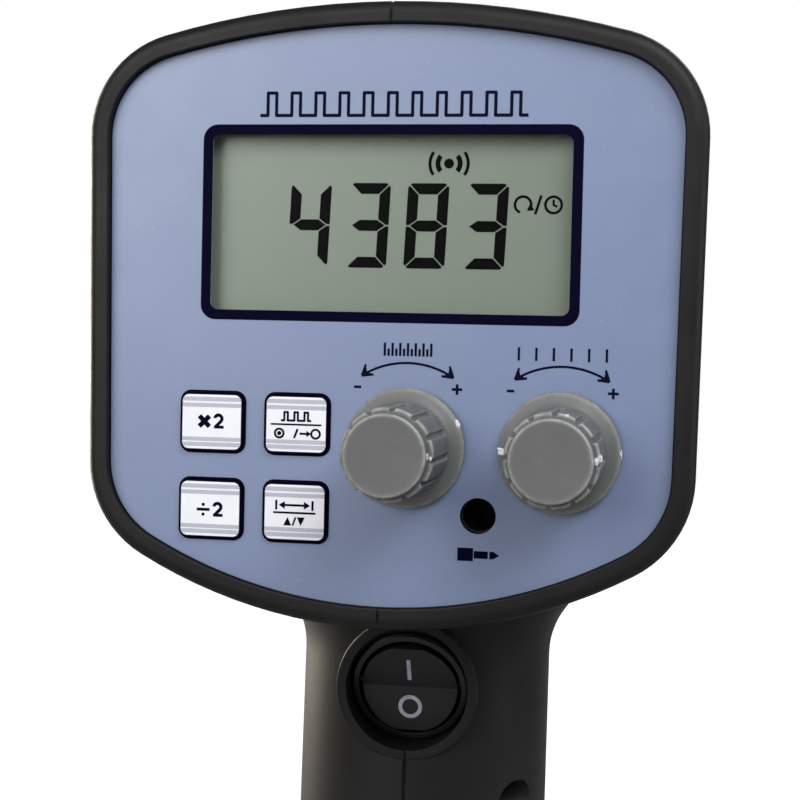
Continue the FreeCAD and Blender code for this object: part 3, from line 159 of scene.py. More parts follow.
class Finish(Graph):
    """A material with one Principled surface, and the patterns that give it detail."""

    def __init__(self, name, colour, roughness, **inputs):
        self.material = bpy.data.materials.new(name)
        self.material.use_nodes = True
        super().__init__(self.material.node_tree)
        self.surface = self.add("ShaderNodeBsdfPrincipled", Base_Color=(*colour, 1.0),
                                Roughness=roughness, **inputs)
        self.output = self.add("ShaderNodeOutputMaterial", Surface=self.surface.outputs["BSDF"])
        self.space = self.add("ShaderNodeTexCoord").outputs["Object"]

    def noise(self, size, detail=2.0, stretch=(1, 1, 1), rough=0.5):
        """Soft noise whose blobs are about size across; stretch lengthens them along an axis."""
        scale = self.add("ShaderNodeMapping", Vector=self.space, Scale=[1 / (size * axis) for axis in stretch])
        made = self.add("ShaderNodeTexNoise", Vector=scale.outputs["Vector"], Scale=1.0, Detail=detail,
                        Roughness=rough)
        return made.outputs["Fac"]

    def cells(self, size):
        """Distance from scattered points that lie about size apart."""
        return self.add("ShaderNodeTexVoronoi", Vector=self.space, Scale=1 / size).outputs["Distance"]

    def span(self, value, low, high, start=0.0, end=1.0):
        """Maps low..high of a value to start..end, held at the ends."""
        made = self.add("ShaderNodeMapRange", Value=value, From_Min=low, From_Max=high, To_Min=start, To_Max=end)
        return made.outputs["Result"]

    def cloud(self, size, detail, start=0.0, end=1.0):
        """Soft clouds of about size, from start to end."""
        return self.span(self.noise(size, detail), 0.3, 0.7, start, end)

    def shade(self, colour, size, detail, dark, light):
        """The colour in soft clouds, from dark to light times its strength."""
        return self.mix(self.cloud(size, detail), tone(colour, dark), tone(colour, light))

    def colour(self, socket):
        self.set(self.surface, Base_Color=socket)

    def rough(self, socket):
        self.set(self.surface, Roughness=socket)

    def bump(self, height, depth, strength, under=None):
        """Raises the surface by up to depth where height is 1; under is a normal to start from."""
        made = self.add("ShaderNodeBump", Height=height, Strength=strength, Distance=depth)
        if under is not None:
            self.set(made, Normal=under)
        self.set(self.surface, Normal=made.outputs["Normal"])

    def plain_normal(self):
        return self.add("ShaderNodeNewGeometry").outputs["Normal"]

    def soft_edges(self, radius):
        """The normal of the surface with its edges eased by radius."""
        return self.add("ShaderNodeBevel", {"samples": 6}, Radius=radius).outputs["Normal"]

    def edges(self, radius):
        """1 on sharp edges, 0 on plain faces."""
        return self.span(self.dot(self.soft_edges(radius), self.plain_normal()), 0.995, 0.86)


# ---- materials of the outside
TO_USER = (0.0, -1.0, 0.0)


def housing_finish(name, colour):
    """Moulded black plastic: fine spark texture, smudges, paler worn edges and a few specks of dust."""
    finish = Finish(name, colour, 0.5, Specular_IOR_Level=0.25)
    grain = finish.noise(0.32 * MM, 3.0, rough=0.6)
    shade = finish.shade(colour, 22 * MM, 4.0, 0.85, 1.2)
    paler_edge_share = finish.math("MULTIPLY", finish.edges(0.5 * MM), finish.span(finish.noise(3 * MM, 3.0), 0.35, 0.75))
    shade = finish.mix(finish.math("MULTIPLY", paler_edge_share, 0.5), shade, tone(colour, 3.2))
    specks = finish.span(finish.cells(7 * MM), 0.022, 0.016)
    specks = finish.math("MULTIPLY", specks, finish.span(finish.noise(30 * MM, 1.0), 0.5, 0.62))
    finish.colour(finish.mix(specks, shade, (0.45, 0.44, 0.42)))
    finish.rough(finish.span(finish.noise(9 * MM, 5.0), 0.35, 0.7, 0.44, 0.58))
    finish.bump(grain, 0.018 * MM, 0.55, finish.soft_edges(0.25 * MM))
    return finish.material


def film_finish():
    """Printed polycarbonate film: blue-grey ink under a velvet face with tiny glints."""
    colour = (0.160, 0.207, 0.342)
    finish = Finish("film", colour, 0.38, Specular_IOR_Level=1.0)
    shade = finish.shade(colour, 28 * MM, 3.0, 0.965, 1.035)
    mottle = finish.noise(1.6 * MM, 4.0)
    shade = finish.mix(finish.span(mottle, 0.3, 0.75, 0.0, 0.35), shade, tone(colour, 1.08))
    glints = finish.span(finish.cells(2.4 * MM), 0.055, 0.03)
    glints = finish.math("MULTIPLY", glints, finish.span(finish.noise(15 * MM, 1.0), 0.5, 0.65, 0.0, 0.5))
    finish.colour(finish.mix(glints, shade, (0.62, 0.66, 0.72)))
    finish.rough(finish.cloud(6 * MM, 4.0, 0.36, 0.42))
    finish.bump(finish.noise(0.16 * MM, 2.0), 0.003 * MM, 0.5)
    return finish.material


def ink_finish(name, colour, roughness=0.65):
    """Screen-printed ink with slightly uneven cover."""
    finish = Finish(name, colour, roughness, Specular_IOR_Level=0.03)
    finish.colour(finish.shade(colour, 0.9 * MM, 3.0, 0.85, 1.2))
    finish.bump(finish.noise(0.12 * MM), 0.004 * MM, 0.4)
    return finish.material


def key_finish():
    """White moulded key with a gloss face and black sides."""
    colour = (0.80, 0.80, 0.85)
    finish = Finish("key_white", colour, 0.28, Coat_Roughness=0.15)
    shade = finish.shade(colour, 5 * MM, 3.0, 0.96, 1.02)
    side = finish.span(finish.dot(finish.plain_normal(), TO_USER), 0.99, 0.96)
    finish.colour(finish.mix(side, shade, (0.003, 0.003, 0.009)))
    face = finish.math("SUBTRACT", 1.0, side)
    finish.set(finish.surface, Specular_IOR_Level=finish.math("MULTIPLY", face, 0.5),
               Coat_Weight=finish.math("MULTIPLY", face, 0.3))
    finish.bump(finish.noise(0.5 * MM, 2.0), 0.006 * MM, 0.3, finish.soft_edges(0.2 * MM))
    return finish.material


def silver_finish():
    """Silver ink with a fine metallic flake."""
    colour = (0.44, 0.445, 0.52)
    finish = Finish("silver_ink", colour, 0.38, Metallic=0.1)
    flake = finish.span(finish.noise(0.14 * MM, 2.0), 0.35, 0.65)
    finish.colour(finish.mix(flake, tone(colour, 0.82), tone(colour, 1.15)))
    finish.bump(finish.noise(0.1 * MM), 0.004 * MM, 0.5)
    return finish.material


def knob_finish():
    """Grey moulded knob, satin, with faint scuffs, and paler where the mesh's edge attribute marks its edges:
    partly rubbed wear, partly a painted edge highlight.
    """
    colour = (0.108, 0.110, 0.108)
    finish = Finish("knob_grey", colour, 0.5, Specular_IOR_Level=0.45)
    shade = finish.shade(colour, 7 * MM, 4.0, 0.94, 1.06)
    # Paler edges: rubbed wear, and a painted highlight on the cap's rim, the ledge and the ribs' edges.
    wear_and_highlight = finish.add("ShaderNodeAttribute", {"attribute_name": "wear_and_highlight"}).outputs["Fac"]
    paler_edge_mask = finish.math("MULTIPLY", wear_and_highlight, finish.span(finish.noise(1.6 * MM, 4.0), 0.3, 0.6, 0.4, 1.0))
    shade = finish.mix(paler_edge_mask, shade, (0.33, 0.335, 0.31))
    scuff = finish.span(finish.noise(1.1 * MM, 4.0, (4, 1, 1)), 0.66, 0.76, 0.0, 0.12)
    finish.colour(finish.mix(scuff, shade, (0.3, 0.3, 0.28)))
    finish.rough(finish.cloud(4 * MM, 4.0, 0.42, 0.56))
    finish.bump(finish.noise(0.25 * MM, 3.0), 0.01 * MM, 0.45, finish.soft_edges(0.2 * MM))
    return finish.material


def switch_finish(name, colour, roughness):
    """Black nylon of the switch: smoother than the housing, with a fine even grain."""
    finish = Finish(name, colour, roughness)
    shade = finish.shade(colour, 8 * MM, 3.0, 0.88, 1.12)
    paler_edge_mask = finish.math("MULTIPLY", finish.edges(0.3 * MM), 0.35)
    finish.colour(finish.mix(paler_edge_mask, shade, tone(colour, 3.0)))
    finish.rough(finish.cloud(5 * MM, 4.0, roughness - 0.05, roughness + 0.08))
    finish.bump(finish.noise(0.2 * MM, 2.0), 0.008 * MM, 0.4, finish.soft_edges(0.2 * MM))
    return finish.material


def paint_finish():
    """Brushed-on marker paint, chipped at its rims."""
    colour = (0.70, 0.71, 0.70)
    finish = Finish("marker_paint", colour, 0.6, Specular_IOR_Level=0.3)
    chips = finish.span(finish.noise(0.5 * MM, 4.0), 0.56, 0.66)
    finish.colour(finish.mix(chips, colour, (0.3, 0.3, 0.29)))
    finish.bump(finish.noise(0.3 * MM, 3.0), 0.03 * MM, 0.6)
    return finish.material


def rubber_finish(name, colour):
    """Soft rubber: dull, with a faint bloom."""
    finish = Finish(name, colour, 0.72, Specular_IOR_Level=0.35)
    bloom = finish.span(finish.noise(3 * MM, 4.0), 0.4, 0.75, 0.0, 0.5)
    finish.colour(finish.mix(bloom, colour, tone(colour, 2.2)))
    finish.bump(finish.noise(0.3 * MM, 3.0), 0.02 * MM, 0.5)
    return finish.material


# ---- materials of the display and lamp
def clear_finish(name, tint, gloss, haze=0.04):
    """Clear plastic or glass that lets light straight through and reflects at its face."""
    finish = Finish(name, tint, 0.05)
    clear = finish.add("ShaderNodeBsdfTransparent", Color=(*tint, 1.0))
    smear = finish.span(finish.noise(12 * MM, 4.0), 0.35, 0.75, gloss, gloss + 0.06)
    shine = finish.add("ShaderNodeBsdfGlossy", Roughness=smear, Color=(*WHITE, 1.0))
    grazing = finish.add("ShaderNodeLayerWeight", Blend=0.5).outputs["Facing"]
    share = finish.math("ADD", finish.math("POWER", grazing, 5.0), haze)
    finish.set(finish.output, Surface=finish.blend(share, clear.outputs["BSDF"], shine.outputs["BSDF"]))
    finish.tree.nodes.remove(finish.surface)
    return finish.material


def display_finish():
    """Reflective back of the liquid-crystal glass: grey-green with a fine mottled foil."""
    colour = (0.172, 0.201, 0.163)
    finish = Finish("display_foil", colour, 0.38, Specular_IOR_Level=1.0)
    shade = finish.shade(colour, 30 * MM, 2.0, 0.975, 1.03)
    foil = finish.cloud(0.22 * MM, 2.0, 0.0, 0.5)
    finish.colour(finish.mix(foil, shade, tone(colour, 1.06)))
    finish.bump(finish.noise(0.3 * MM, 2.0), 0.006 * MM, 0.35)
    return finish.material


def mirror_finish(name, colour, roughness, ripple):
    """Bright metal with a faint spun or plated ripple."""
    finish = Finish(name, colour, roughness, Metallic=1.0)
    finish.rough(finish.span(finish.noise(9 * MM, 4.0), 0.35, 0.7, roughness, roughness + 0.1))
    finish.colour(finish.shade(colour, 14 * MM, 3.0, 0.93, 1.0))
    finish.bump(finish.noise(ripple, 3.0), 0.006 * MM, 0.4)
    return finish.material


def ceramic_finish():
    """Glazed ceramic, off-white, with faint brown firing specks."""
    colour = (0.72, 0.70, 0.64)
    finish = Finish("ceramic", colour, 0.3, Coat_Weight=0.5, Coat_Roughness=0.08)
    specks = finish.span(finish.cells(1.8 * MM), 0.07, 0.04, 0.0, 0.7)
    shade = finish.shade(colour, 5 * MM, 3.0, 0.93, 1.0)
    finish.colour(finish.mix(specks, shade, (0.3, 0.24, 0.17)))
    finish.bump(finish.noise(1.5 * MM, 2.0), 0.015 * MM, 0.3)
    return finish.material


# ---- materials of the inside
def board_finish():
    """Green solder mask over faint copper tracks."""
    colour = (0.02, 0.11, 0.05)
    finish = Finish("board_green", colour, 0.3)
    weave = finish.noise(1.2 * MM, 2.0, (6, 6, 1))
    tracks = finish.span(weave, 0.52, 0.54, 0.0, 0.5)
    finish.colour(finish.mix(tracks, colour, (0.05, 0.2, 0.08)))
    finish.bump(tracks, 0.03 * MM, 0.5)
    return finish.material


def moulded_finish(name, colour, roughness=0.45):
    """A plain moulded plastic with a fine grain and slight colour variation."""
    finish = Finish(name, colour, roughness)
    finish.colour(finish.shade(colour, 6 * MM, 4.0, 0.88, 1.1))
    finish.rough(finish.cloud(3 * MM, 3.0, roughness - 0.06, roughness + 0.08))
    finish.bump(finish.noise(0.3 * MM, 3.0), 0.012 * MM, 0.5)
    return finish.material


# Blender's bands go through this many radians for each unit of length at a scale of 1.
BAND_RADIANS = 20


def layered_finish(name, first, second, pitch, axis):
    """Two colours in thin layers across an axis, such as laminations, contact rubber or a winding.

    The layers' pitch is given per radian of their wave."""
    finish = Finish(name, first, 0.45)
    wave = finish.add("ShaderNodeTexWave", {"bands_direction": axis}, Vector=finish.space,
                      Scale=1 / (BAND_RADIANS * pitch), Distortion=0.4)
    share = finish.span(wave.outputs["Fac"], 0.35, 0.65)
    finish.colour(finish.mix(share, first, second))
    finish.bump(share, 0.05 * MM, 0.6)
    return finish.material


def metal_finish(name, colour, roughness):
    """Plated or turned metal with fine scratches."""
    finish = Finish(name, colour, roughness, Metallic=1.0)
    finish.rough(finish.span(finish.noise(0.4 * MM, 4.0, (8, 1, 1)), 0.3, 0.7, roughness - 0.08, roughness + 0.12))
    finish.colour(finish.shade(colour, 4 * MM, 4.0, 0.85, 1.0))
    finish.bump(finish.noise(0.25 * MM, 3.0, (10, 1, 1)), 0.008 * MM, 0.4)
    return finish.material


navy_ink = ink_finish("navy_ink", (0.0035, 0.0035, 0.016))
black_ink = ink_finish("black_ink", (0.0014, 0.0012, 0.012))
mark_ink = ink_finish("mark_ink", (0.42, 0.42, 0.52), 0.45)
segment_ink = ink_finish("segment", (0.0015, 0.0020, 0.0015), 0.5)
silver_ink = silver_finish()
marker_paint = paint_finish()

MATERIALS = {
    "housing_plastic": housing_finish("housing_black", (0.0076, 0.0072, 0.0072)),
    "ring_plastic": housing_finish("ring_black", (0.009, 0.009, 0.0092)),
    "label_film": film_finish(),
    "panel_plastic": moulded_finish("panel_black", (0.02, 0.02, 0.021)),
    "window_plastic": clear_finish("window", (0.965, 0.975, 0.965), 0.34, 0.001),
    "display_face": display_finish(),
    "holder_plastic": moulded_finish("holder_white", (0.62, 0.62, 0.6)),
    "strip_rubber": layered_finish("contact_rubber", (0.30, 0.06, 0.07), (0.02, 0.02, 0.02), 0.6 * MM, "X"),
    "board_laminate": board_finish(),
    "key_plastic": key_finish(),
    "small_black": moulded_finish("small_black", (0.012, 0.012, 0.013), 0.35),
    "knob_plastic": knob_finish(),
    "shaft_metal": metal_finish("shaft", (0.62, 0.62, 0.63), 0.3),
    "can_steel": metal_finish("can", (0.45, 0.45, 0.46), 0.35),
    "plated_metal": metal_finish("plated", (0.66, 0.64, 0.60), 0.18),
    "switch_plastic": switch_finish("switch_black", (0.007, 0.007, 0.0073), 0.34),
    "rocker_plastic": switch_finish("rocker_black", (0.0075, 0.0078, 0.0082), 0.42),
    "terminal_brass": metal_finish("brass", (0.72, 0.55, 0.28), 0.28),
    "reflector_metal": mirror_finish("reflector", (0.86, 0.87, 0.88), 0.07, 5 * MM),
    "tube_glass": clear_finish("quartz", (0.93, 0.95, 0.96), 0.02),
    "base_ceramic": ceramic_finish(),
    "gasket_rubber": rubber_finish("gasket", (0.012, 0.012, 0.012)),
    "lens_plastic": clear_finish("lens", (0.97, 0.98, 0.985), 0.02),
    "can_sleeve": moulded_finish("sleeve_blue", (0.02, 0.03, 0.12), 0.28),
    "core_steel": layered_finish("laminations", (0.09, 0.09, 0.095), (0.2, 0.19, 0.18), 0.5 * MM, "Y"),
    "winding_tape": layered_finish("winding", (0.52, 0.33, 0.06), (0.38, 0.2, 0.05), 0.7 * MM, "Z"),
    "bushing_rubber": rubber_finish("bushing", (0.014, 0.014, 0.014)),
}

# Every CAD node gets the finish of its material slot.
for part in frame["record"]["subparts"]:
    materials = frame["nodes"][part["node"]].data.materials
    materials.clear()
    materials.append(MATERIALS[part["material_slot"]])


# ---- flat shapes
def point_at(radius, degrees, centre):
    """The point on a circle, anticlockwise from the right."""
    angle = math.radians(degrees)
    return centre[0] + radius * math.cos(angle), centre[1] + radius * math.sin(angle)


def arc(radius, start, end, steps, centre=(0.0, 0.0)):
    return [point_at(radius, start + (end - start) * step / steps, centre) for step in range(steps + 1)]


def disc(radius, centre=(0.0, 0.0), steps=28):
    return [arc(radius, 0, 360, steps, centre)[:-1]]


def strip(inner, outer):
    """Quads between two lines of points."""
    return list(zip(inner, outer, outer[1:], inner[1:]))


def arc_band(radius, width, start, end, steps=32, centre=(0.0, 0.0)):
    """A stroke along an arc."""
    return strip(*(arc(side, start, end, steps, centre) for side in (radius - width / 2, radius + width / 2)))


def stroke(points, width):
    """Straight strokes of one width from point to point, each corner filled by a small disc."""
    shapes = []
    for start, end in zip(points, points[1:]):
        along = Vector(end) - Vector(start)
        side = Vector((-along.y, along.x)).normalized() * width / 2
        shapes.append([tuple(Vector(start) - side), tuple(Vector(end) - side),
                       tuple(Vector(end) + side), tuple(Vector(start) + side)])
    for corner in points[1:-1]:
        shapes += disc(width / 2, corner, 12)
    return shapes


def rectangle(width, height, centre=(0.0, 0.0)):
    (x, y), half, rise = centre, width / 2, height / 2
    return [[(x - half, y - rise), (x + half, y - rise), (x + half, y + rise), (x - half, y + rise)]]


def rounded_outline(width, height, corner, steps=8):
    """The outline of a rectangle with round corners, anticlockwise from the right."""
    points = []
    for turn, (sign_x, sign_y) in enumerate(((1, 1), (-1, 1), (-1, -1), (1, -1))):
        centre = (sign_x * (width / 2 - corner), sign_y * (height / 2 - corner))
        points += arc(corner, 90 * turn, 90 * turn + 90, steps, centre)
    return points


def rounded_frame(width, height, corner, line, inner_corner):
    """A line of even width round a rectangle with round corners, inside width and height."""
    outer = rounded_outline(width, height, corner)
    inner = rounded_outline(width - 2 * line, height - 2 * line, inner_corner)
    return strip(inner + inner[:1], outer + outer[:1])


def moved(shapes, across=0.0, up=0.0, lean=0.0):
    """Shapes sheared by lean and then shifted."""
    return [[(across + x + lean * y, up + y) for x, y in shape] for shape in shapes]


def pulses(left, low, high, pitch, duty, count):
    """The corners of a train of square pulses."""
    points = []
    for index in range(count):
        start = left + index * pitch
        rise = start + pitch * (1 - duty) / 2
        fall = rise + pitch * duty
        points += [(start, low), (rise, low), (rise, high), (fall, high), (fall, low)]
    return points + [(left + count * pitch, low)]


def anticlockwise(shape):
    area = sum(a[0] * b[1] - b[0] * a[1] for a, b in zip(shape, shape[1:] + shape[:1]))
    return shape if area > 0 else shape[::-1]


# ---- meshes and pieces
INK = 0.04 * MM
# The union of flat shapes joins points nearer than this, in millimetres.
JOIN_WITHIN = 1e-4
STRAIGHT = math.radians(0.5)
SHARP = math.radians(32)


def add_object(name, data):
    made = bpy.data.objects.new(name, data)
    bpy.context.scene.collection.objects.link(made)
    return made


def to_mesh(name, build):
    mesh = bpy.data.meshes.new(name)
    build.to_mesh(mesh)
    build.free()
    return mesh


def finished(name, build, place, material, body):
    """Turns a bmesh into a piece that rides on a body."""
    mesh = to_mesh(name, build)
    mesh.transform(place)
    mesh.materials.append(material)
    piece = add_object(name, mesh)
    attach(piece, body)
    return piece


def plate(name, shapes, place, thickness, material, body):
    """A thin solid whose outline is the union of flat shapes."""
    points, faces = [], []
    for shape in shapes:
        start = len(points)
        points += [Vector(point) for point in anticlockwise(list(shape))]
        faces.append(list(range(start, len(points))))
    joined = delaunay_2d_cdt(points, [], faces, 1, JOIN_WITHIN)
    build = bmesh.new()
    corners = [build.verts.new((point.x * MM, point.y * MM, 0.0)) for point in joined[0]]
    for face, sources in zip(joined[2], joined[5]):
        if sources:
            build.faces.new([corners[i] for i in face])
    bmesh.ops.dissolve_limit(build, angle_limit=STRAIGHT, verts=build.verts, edges=build.edges)
    base = list(build.faces)
    raised = bmesh.ops.extrude_face_region(build, geom=base, use_keep_orig=True)
    for item in raised["geom"]:
        if isinstance(item, bmesh.types.BMVert):
            item.co.z += thickness
    bmesh.ops.recalc_face_normals(build, faces=build.faces)
    loose = [corner for corner in build.verts if not corner.link_faces]
    bmesh.ops.delete(build, geom=loose, context="VERTS")
    finished(name, build, place, material, body)


def skin(build, rings):
    """Faces between rings of corners; a ring of one corner is a pole."""
    count = max(len(ring) for ring in rings)
    for low, high in zip(rings, rings[1:]):
        for i in range(count):
            after = (i + 1) % count
            corners = [low[i % len(low)], low[after % len(low)], high[after % len(high)], high[i % len(high)]]
            build.faces.new(list(dict.fromkeys(corners)))


def smooth(faces):
    for face in faces:
        face.smooth = True


def print_on_panel(name, shapes, material=navy_ink):
    plate(name, shapes, panel_place(), INK, material, BODY)


# ---- panel print
WINDOW_UP = (middle("display_window") - CENTRE).z / MM
WINDOW_OUTER = (73.7, 37.8)
WINDOW_LINE = 1.95
WINDOW_CORNER = 2.9
WINDOW_INNER_CORNER = 1.55

TITLE_LEFT = -25.6
TITLE_LOW = 38.5
TITLE_HIGH = 42.8
TITLE_PITCH = 4.72
TITLE_PULSES = 11
TITLE_DUTY = 0.36
TITLE_LINE = 0.62


def window_border():
    shapes = rounded_frame(*WINDOW_OUTER, WINDOW_CORNER, WINDOW_LINE, WINDOW_INNER_CORNER)
    print_on_panel("window_border", moved(shapes, up=WINDOW_UP), black_ink)


def title_pulses():
    """A train of flash pulses where such panels carry their heading."""
    points = pulses(TITLE_LEFT, TITLE_LOW, TITLE_HIGH, TITLE_PITCH, TITLE_DUTY, TITLE_PULSES)
    print_on_panel("title_pulses", stroke(points, TITLE_LINE))


ARROW_RADIUS = 16.3
ARROW_HALF_ANGLE = 33.0
ARROW_LINE = 0.45
ARROW_HEAD = 2.3
ARROW_HEAD_ANGLE = 32.0
# The hollow at the head's back, as a share of its length, and the head's turn into the arc.
ARROW_HOLLOW = 0.55
ARROW_HEAD_TURN = 6.0
SIGN_LINE = 0.5
PLUS_SIZE = 2.0
MINUS_SIZE = 1.4
SIGN_RADIUS = 15.0
SIGN_ANGLE = 40.0
# (pitch, count, heights in turn, place up the panel) of the ticks that show how fine a knob is
TICKS = {"fine": (0.75, 13, (2.5, 1.4), -7.3), "coarse": (3.3, 6, (2.5,), -7.6)}


def turn_arrow(side):
    """A double arrow over a knob with minus and plus, and ticks over the arrow."""
    spot = (middle(side + "_knob") - CENTRE) / MM
    centre = (spot.x, spot.z)
    start = 90 - ARROW_HALF_ANGLE
    end = 90 + ARROW_HALF_ANGLE
    shapes = arc_band(ARROW_RADIUS, ARROW_LINE, start, end, 40, centre)
    for angle, way in ((start, -1), (end, 1)):
        tip = point_at(ARROW_RADIUS, angle, centre)
        heading = angle + way * 90
        outline = [tip]
        for lean, reach in ((-ARROW_HEAD_ANGLE, 1.0), (0.0, ARROW_HOLLOW), (ARROW_HEAD_ANGLE, 1.0)):
            back = heading + 180 + lean + way * ARROW_HEAD_TURN
            outline.append(point_at(ARROW_HEAD * reach, back, tip))
        for corner in (outline[1], outline[3]):
            shapes += stroke([tip, corner], ARROW_LINE)
        shapes.append(outline)
    minus = point_at(SIGN_RADIUS, 90 + SIGN_ANGLE, centre)
    plus = point_at(SIGN_RADIUS, 90 - SIGN_ANGLE, centre)
    shapes += rectangle(MINUS_SIZE, SIGN_LINE, minus)
    shapes += rectangle(PLUS_SIZE, SIGN_LINE, plus) + rectangle(SIGN_LINE, PLUS_SIZE, plus)
    pitch, count, heights, up = TICKS[side]
    for index in range(count):
        height = heights[index % len(heights)]
        across = centre[0] + (index - (count - 1) / 2) * pitch
        shapes += rectangle(ARROW_LINE, height, (across, up + height / 2))
    print_on_panel(side + "_arrow", shapes)


# Each key's node and the body that it is on.
KEYS = {"key_times_two": "times_two_key", "key_trigger": "trigger_key",
        "key_divide_two": "divide_two_key", "key_range": "range_key"}
KEY_BORDER = (13.3, 12.3)
KEY_BORDER_LINE = 0.42
KEY_BORDER_CORNER = 2.2


def key_borders():
    inner_corner = KEY_BORDER_CORNER - KEY_BORDER_LINE
    ring = rounded_frame(*KEY_BORDER, KEY_BORDER_CORNER, KEY_BORDER_LINE, inner_corner)
    shapes = []
    for name in KEYS:
        spot = (middle(name) - CENTRE) / MM
        shapes += moved(ring, spot.x, spot.z)
    print_on_panel("key_borders", shapes, black_ink)


PLUG_PLACE = (18.85, -44.8)
# (width, height, place across) of the plug's body and sleeve, and where its tip starts, narrows and ends
PLUG_BODY = (3.0, 2.5, -2.5)
PLUG_SLEEVE = (2.7, 1.4, 0.5)
PLUG_TIP = (2.15, 2.9, 4.0)


def plug_mark():
    """A jack plug on its side under the socket."""
    shapes = []
    for width, height, across in (PLUG_BODY, PLUG_SLEEVE):
        shapes += rectangle(width, height, (across, 0))
    start, shoulder, end = PLUG_TIP
    half = PLUG_SLEEVE[1] / 2
    shapes.append([(start, -half), (shoulder, -half), (end, 0.0), (shoulder, half), (start, half)])
    print_on_panel("plug_mark", moved(shapes, *PLUG_PLACE), black_ink)


# ---- display
DIGIT_WIDTH = 8.0
DIGIT_HEIGHT = 16.35
SEGMENT_WIDTH = 2.1
SEGMENT_GAP = 0.17
# How far the corners are cut off, as a share of a segment's width.
SEGMENT_CUT = 0.3
DIGIT_LEAN = 0.042
DIGIT_LOW = 9.6
DIGIT_PLACES = ((-20.5, "4"), (-8.87, "3"), (2.53, "8"), (14.03, "3"))
SEGMENTS_OF = {"3": "abgcd", "4": "fbgc", "8": "abcdefg"}


def segment_shapes():
    """The seven segments of a digit with mitred ends, lower left corner at the origin."""
    w, h, t, g = DIGIT_WIDTH, DIGIT_HEIGHT, SEGMENT_WIDTH, SEGMENT_GAP
    cut = t * SEGMENT_CUT
    mid = h / 2

    def mirrored(shape):
        return [(w - x, y) for x, y in shape]

    def flipped(shape):
        return [(x, h - y) for x, y in shape]

    top = [(cut + g, h), (w - cut - g, h), (w - cut / 2 - g, h - cut / 2), (w - t - g, h - t),
           (t + g, h - t), (cut / 2 + g, h - cut / 2)]
    upper_left = [(0, h - cut - g), (cut / 2, h - cut / 2 - g), (t, h - t - g), (t, mid + t / 2 + g),
                  (cut, mid + g), (0, mid + g)]
    bar = [(cut + g, mid), (t + g, mid + t / 2), (w - t - g, mid + t / 2),
           (w - cut - g, mid), (w - t - g, mid - t / 2), (t + g, mid - t / 2)]
    return {"a": top, "b": mirrored(upper_left), "c": flipped(mirrored(upper_left)), "d": flipped(top),
            "e": flipped(upper_left), "f": upper_left, "g": bar}


SIGNAL_PLACE = (11.0, 29.75)
SIGNAL_DOT = 0.95
# (radius, line, half angle) of the arcs on each side of the dot
SIGNAL_RINGS = ((2.15, 0.95, 42.0), (3.7, 0.6, 36.0))
RATE_PLACE = (28.3, 22.0)
RATE_APART = 2.9
RATE_RADIUS = 1.55
RATE_LINE = 0.5
RATE_ARC = (-20, 250)
RATE_ARROW_HEAD = ((0.75, -1.15), (2.2, -1.05), (1.35, 0.25))
RATE_SLASH = ((-0.55, -1.8), (0.55, 1.8))
CLOCK_HANDS = ((0, 1.0), (0, 0), (0.7, -0.35))
CLOCK_HAND_LINE = 0.4


def signal_mark():
    """A dot between two pairs of arcs."""
    shapes = disc(SIGNAL_DOT)
    for radius, line, half_angle in SIGNAL_RINGS:
        shapes += arc_band(radius, line, -half_angle, half_angle, 16)
        shapes += arc_band(radius, line, 180 - half_angle, 180 + half_angle, 16)
    return moved(shapes, *SIGNAL_PLACE)


def rate_mark():
    """Turns per minute as signs: a round arrow, a stroke and a clock."""
    arrow = arc_band(RATE_RADIUS, RATE_LINE, *RATE_ARC, 28) + [RATE_ARROW_HEAD]
    slash = stroke(RATE_SLASH, RATE_LINE)
    clock = arc_band(RATE_RADIUS, RATE_LINE, 0, 360, 32) + stroke(CLOCK_HANDS, CLOCK_HAND_LINE)
    return moved(moved(arrow, -RATE_APART) + slash + moved(clock, RATE_APART), *RATE_PLACE)


SEGMENT_FILM = 0.05 * MM


def display_segments():
    """Dark segments on the face of the liquid-crystal glass."""
    shapes = []
    drawn = segment_shapes()
    for across, value in DIGIT_PLACES:
        digit = [drawn[letter] for letter in SEGMENTS_OF[value]]
        shapes += moved(digit, across, DIGIT_LOW, DIGIT_LEAN)
    shapes += signal_mark() + rate_mark()
    plate("display_segments", shapes, panel_place(out=GLASS_TOP), SEGMENT_FILM, segment_ink, BODY)


# ---- key prints
KEY_FACE = (11.7, 10.5)
KEY_FACE_CORNER = 1.25
# (place up the key, height) of the silver bands
KEY_BANDS = ((4.44, 0.79), (3.27, 0.77), (-3.36, 0.77), (-4.38, 0.79))
GLYPH_LINE = 0.95
NUMERAL_LINE = 0.646
FINE_LINE = 0.42


def key_band(up, height, steps=5):
    """A band across a key's face, its ends following the round corners."""
    right = []
    for step in range(steps + 1):
        y = up + height * (step / steps - 0.5)
        beyond = max(0.0, abs(y) - KEY_FACE[1] / 2 + KEY_FACE_CORNER)
        reach = KEY_FACE[0] / 2 - KEY_FACE_CORNER + math.sqrt(KEY_FACE_CORNER ** 2 - beyond ** 2)
        right.append((reach, y))
    return right + [(-x, y) for x, y in reversed(right)]


def glyph_two(height, line):
    """The numeral two, its lower left corner at the origin; its bow and ends are shares of height and line."""
    radius = height * 0.29
    centre = (radius + line * 0.12, height - radius)
    hook = arc_band(radius - line * 0.1, line, -35, 172, 20, centre)
    end = point_at(radius - line * 0.1, -35, centre)
    tail = stroke([end, (line * 0.45, line * 0.5)], line)
    foot = rectangle(radius * 2 + line * 0.6, line * 0.9, (radius + line * 0.3, line * 0.45))
    return hook + tail + foot


def glyph_times(size, line):
    reach = size / 2
    return stroke([(-reach, -reach), (reach, reach)], line) + stroke([(-reach, reach), (reach, -reach)], line)


def glyph_divide(size, line):
    dot = line * 0.34
    return rectangle(size, line * 0.58) + disc(dot, (0, size * 0.37)) + disc(dot, (0, -size * 0.37))


def key_times_two_print():
    return moved(glyph_times(2.05, GLYPH_LINE), -1.45, 0.1) + moved(glyph_two(2.68, NUMERAL_LINE), 0.52, -1.26)


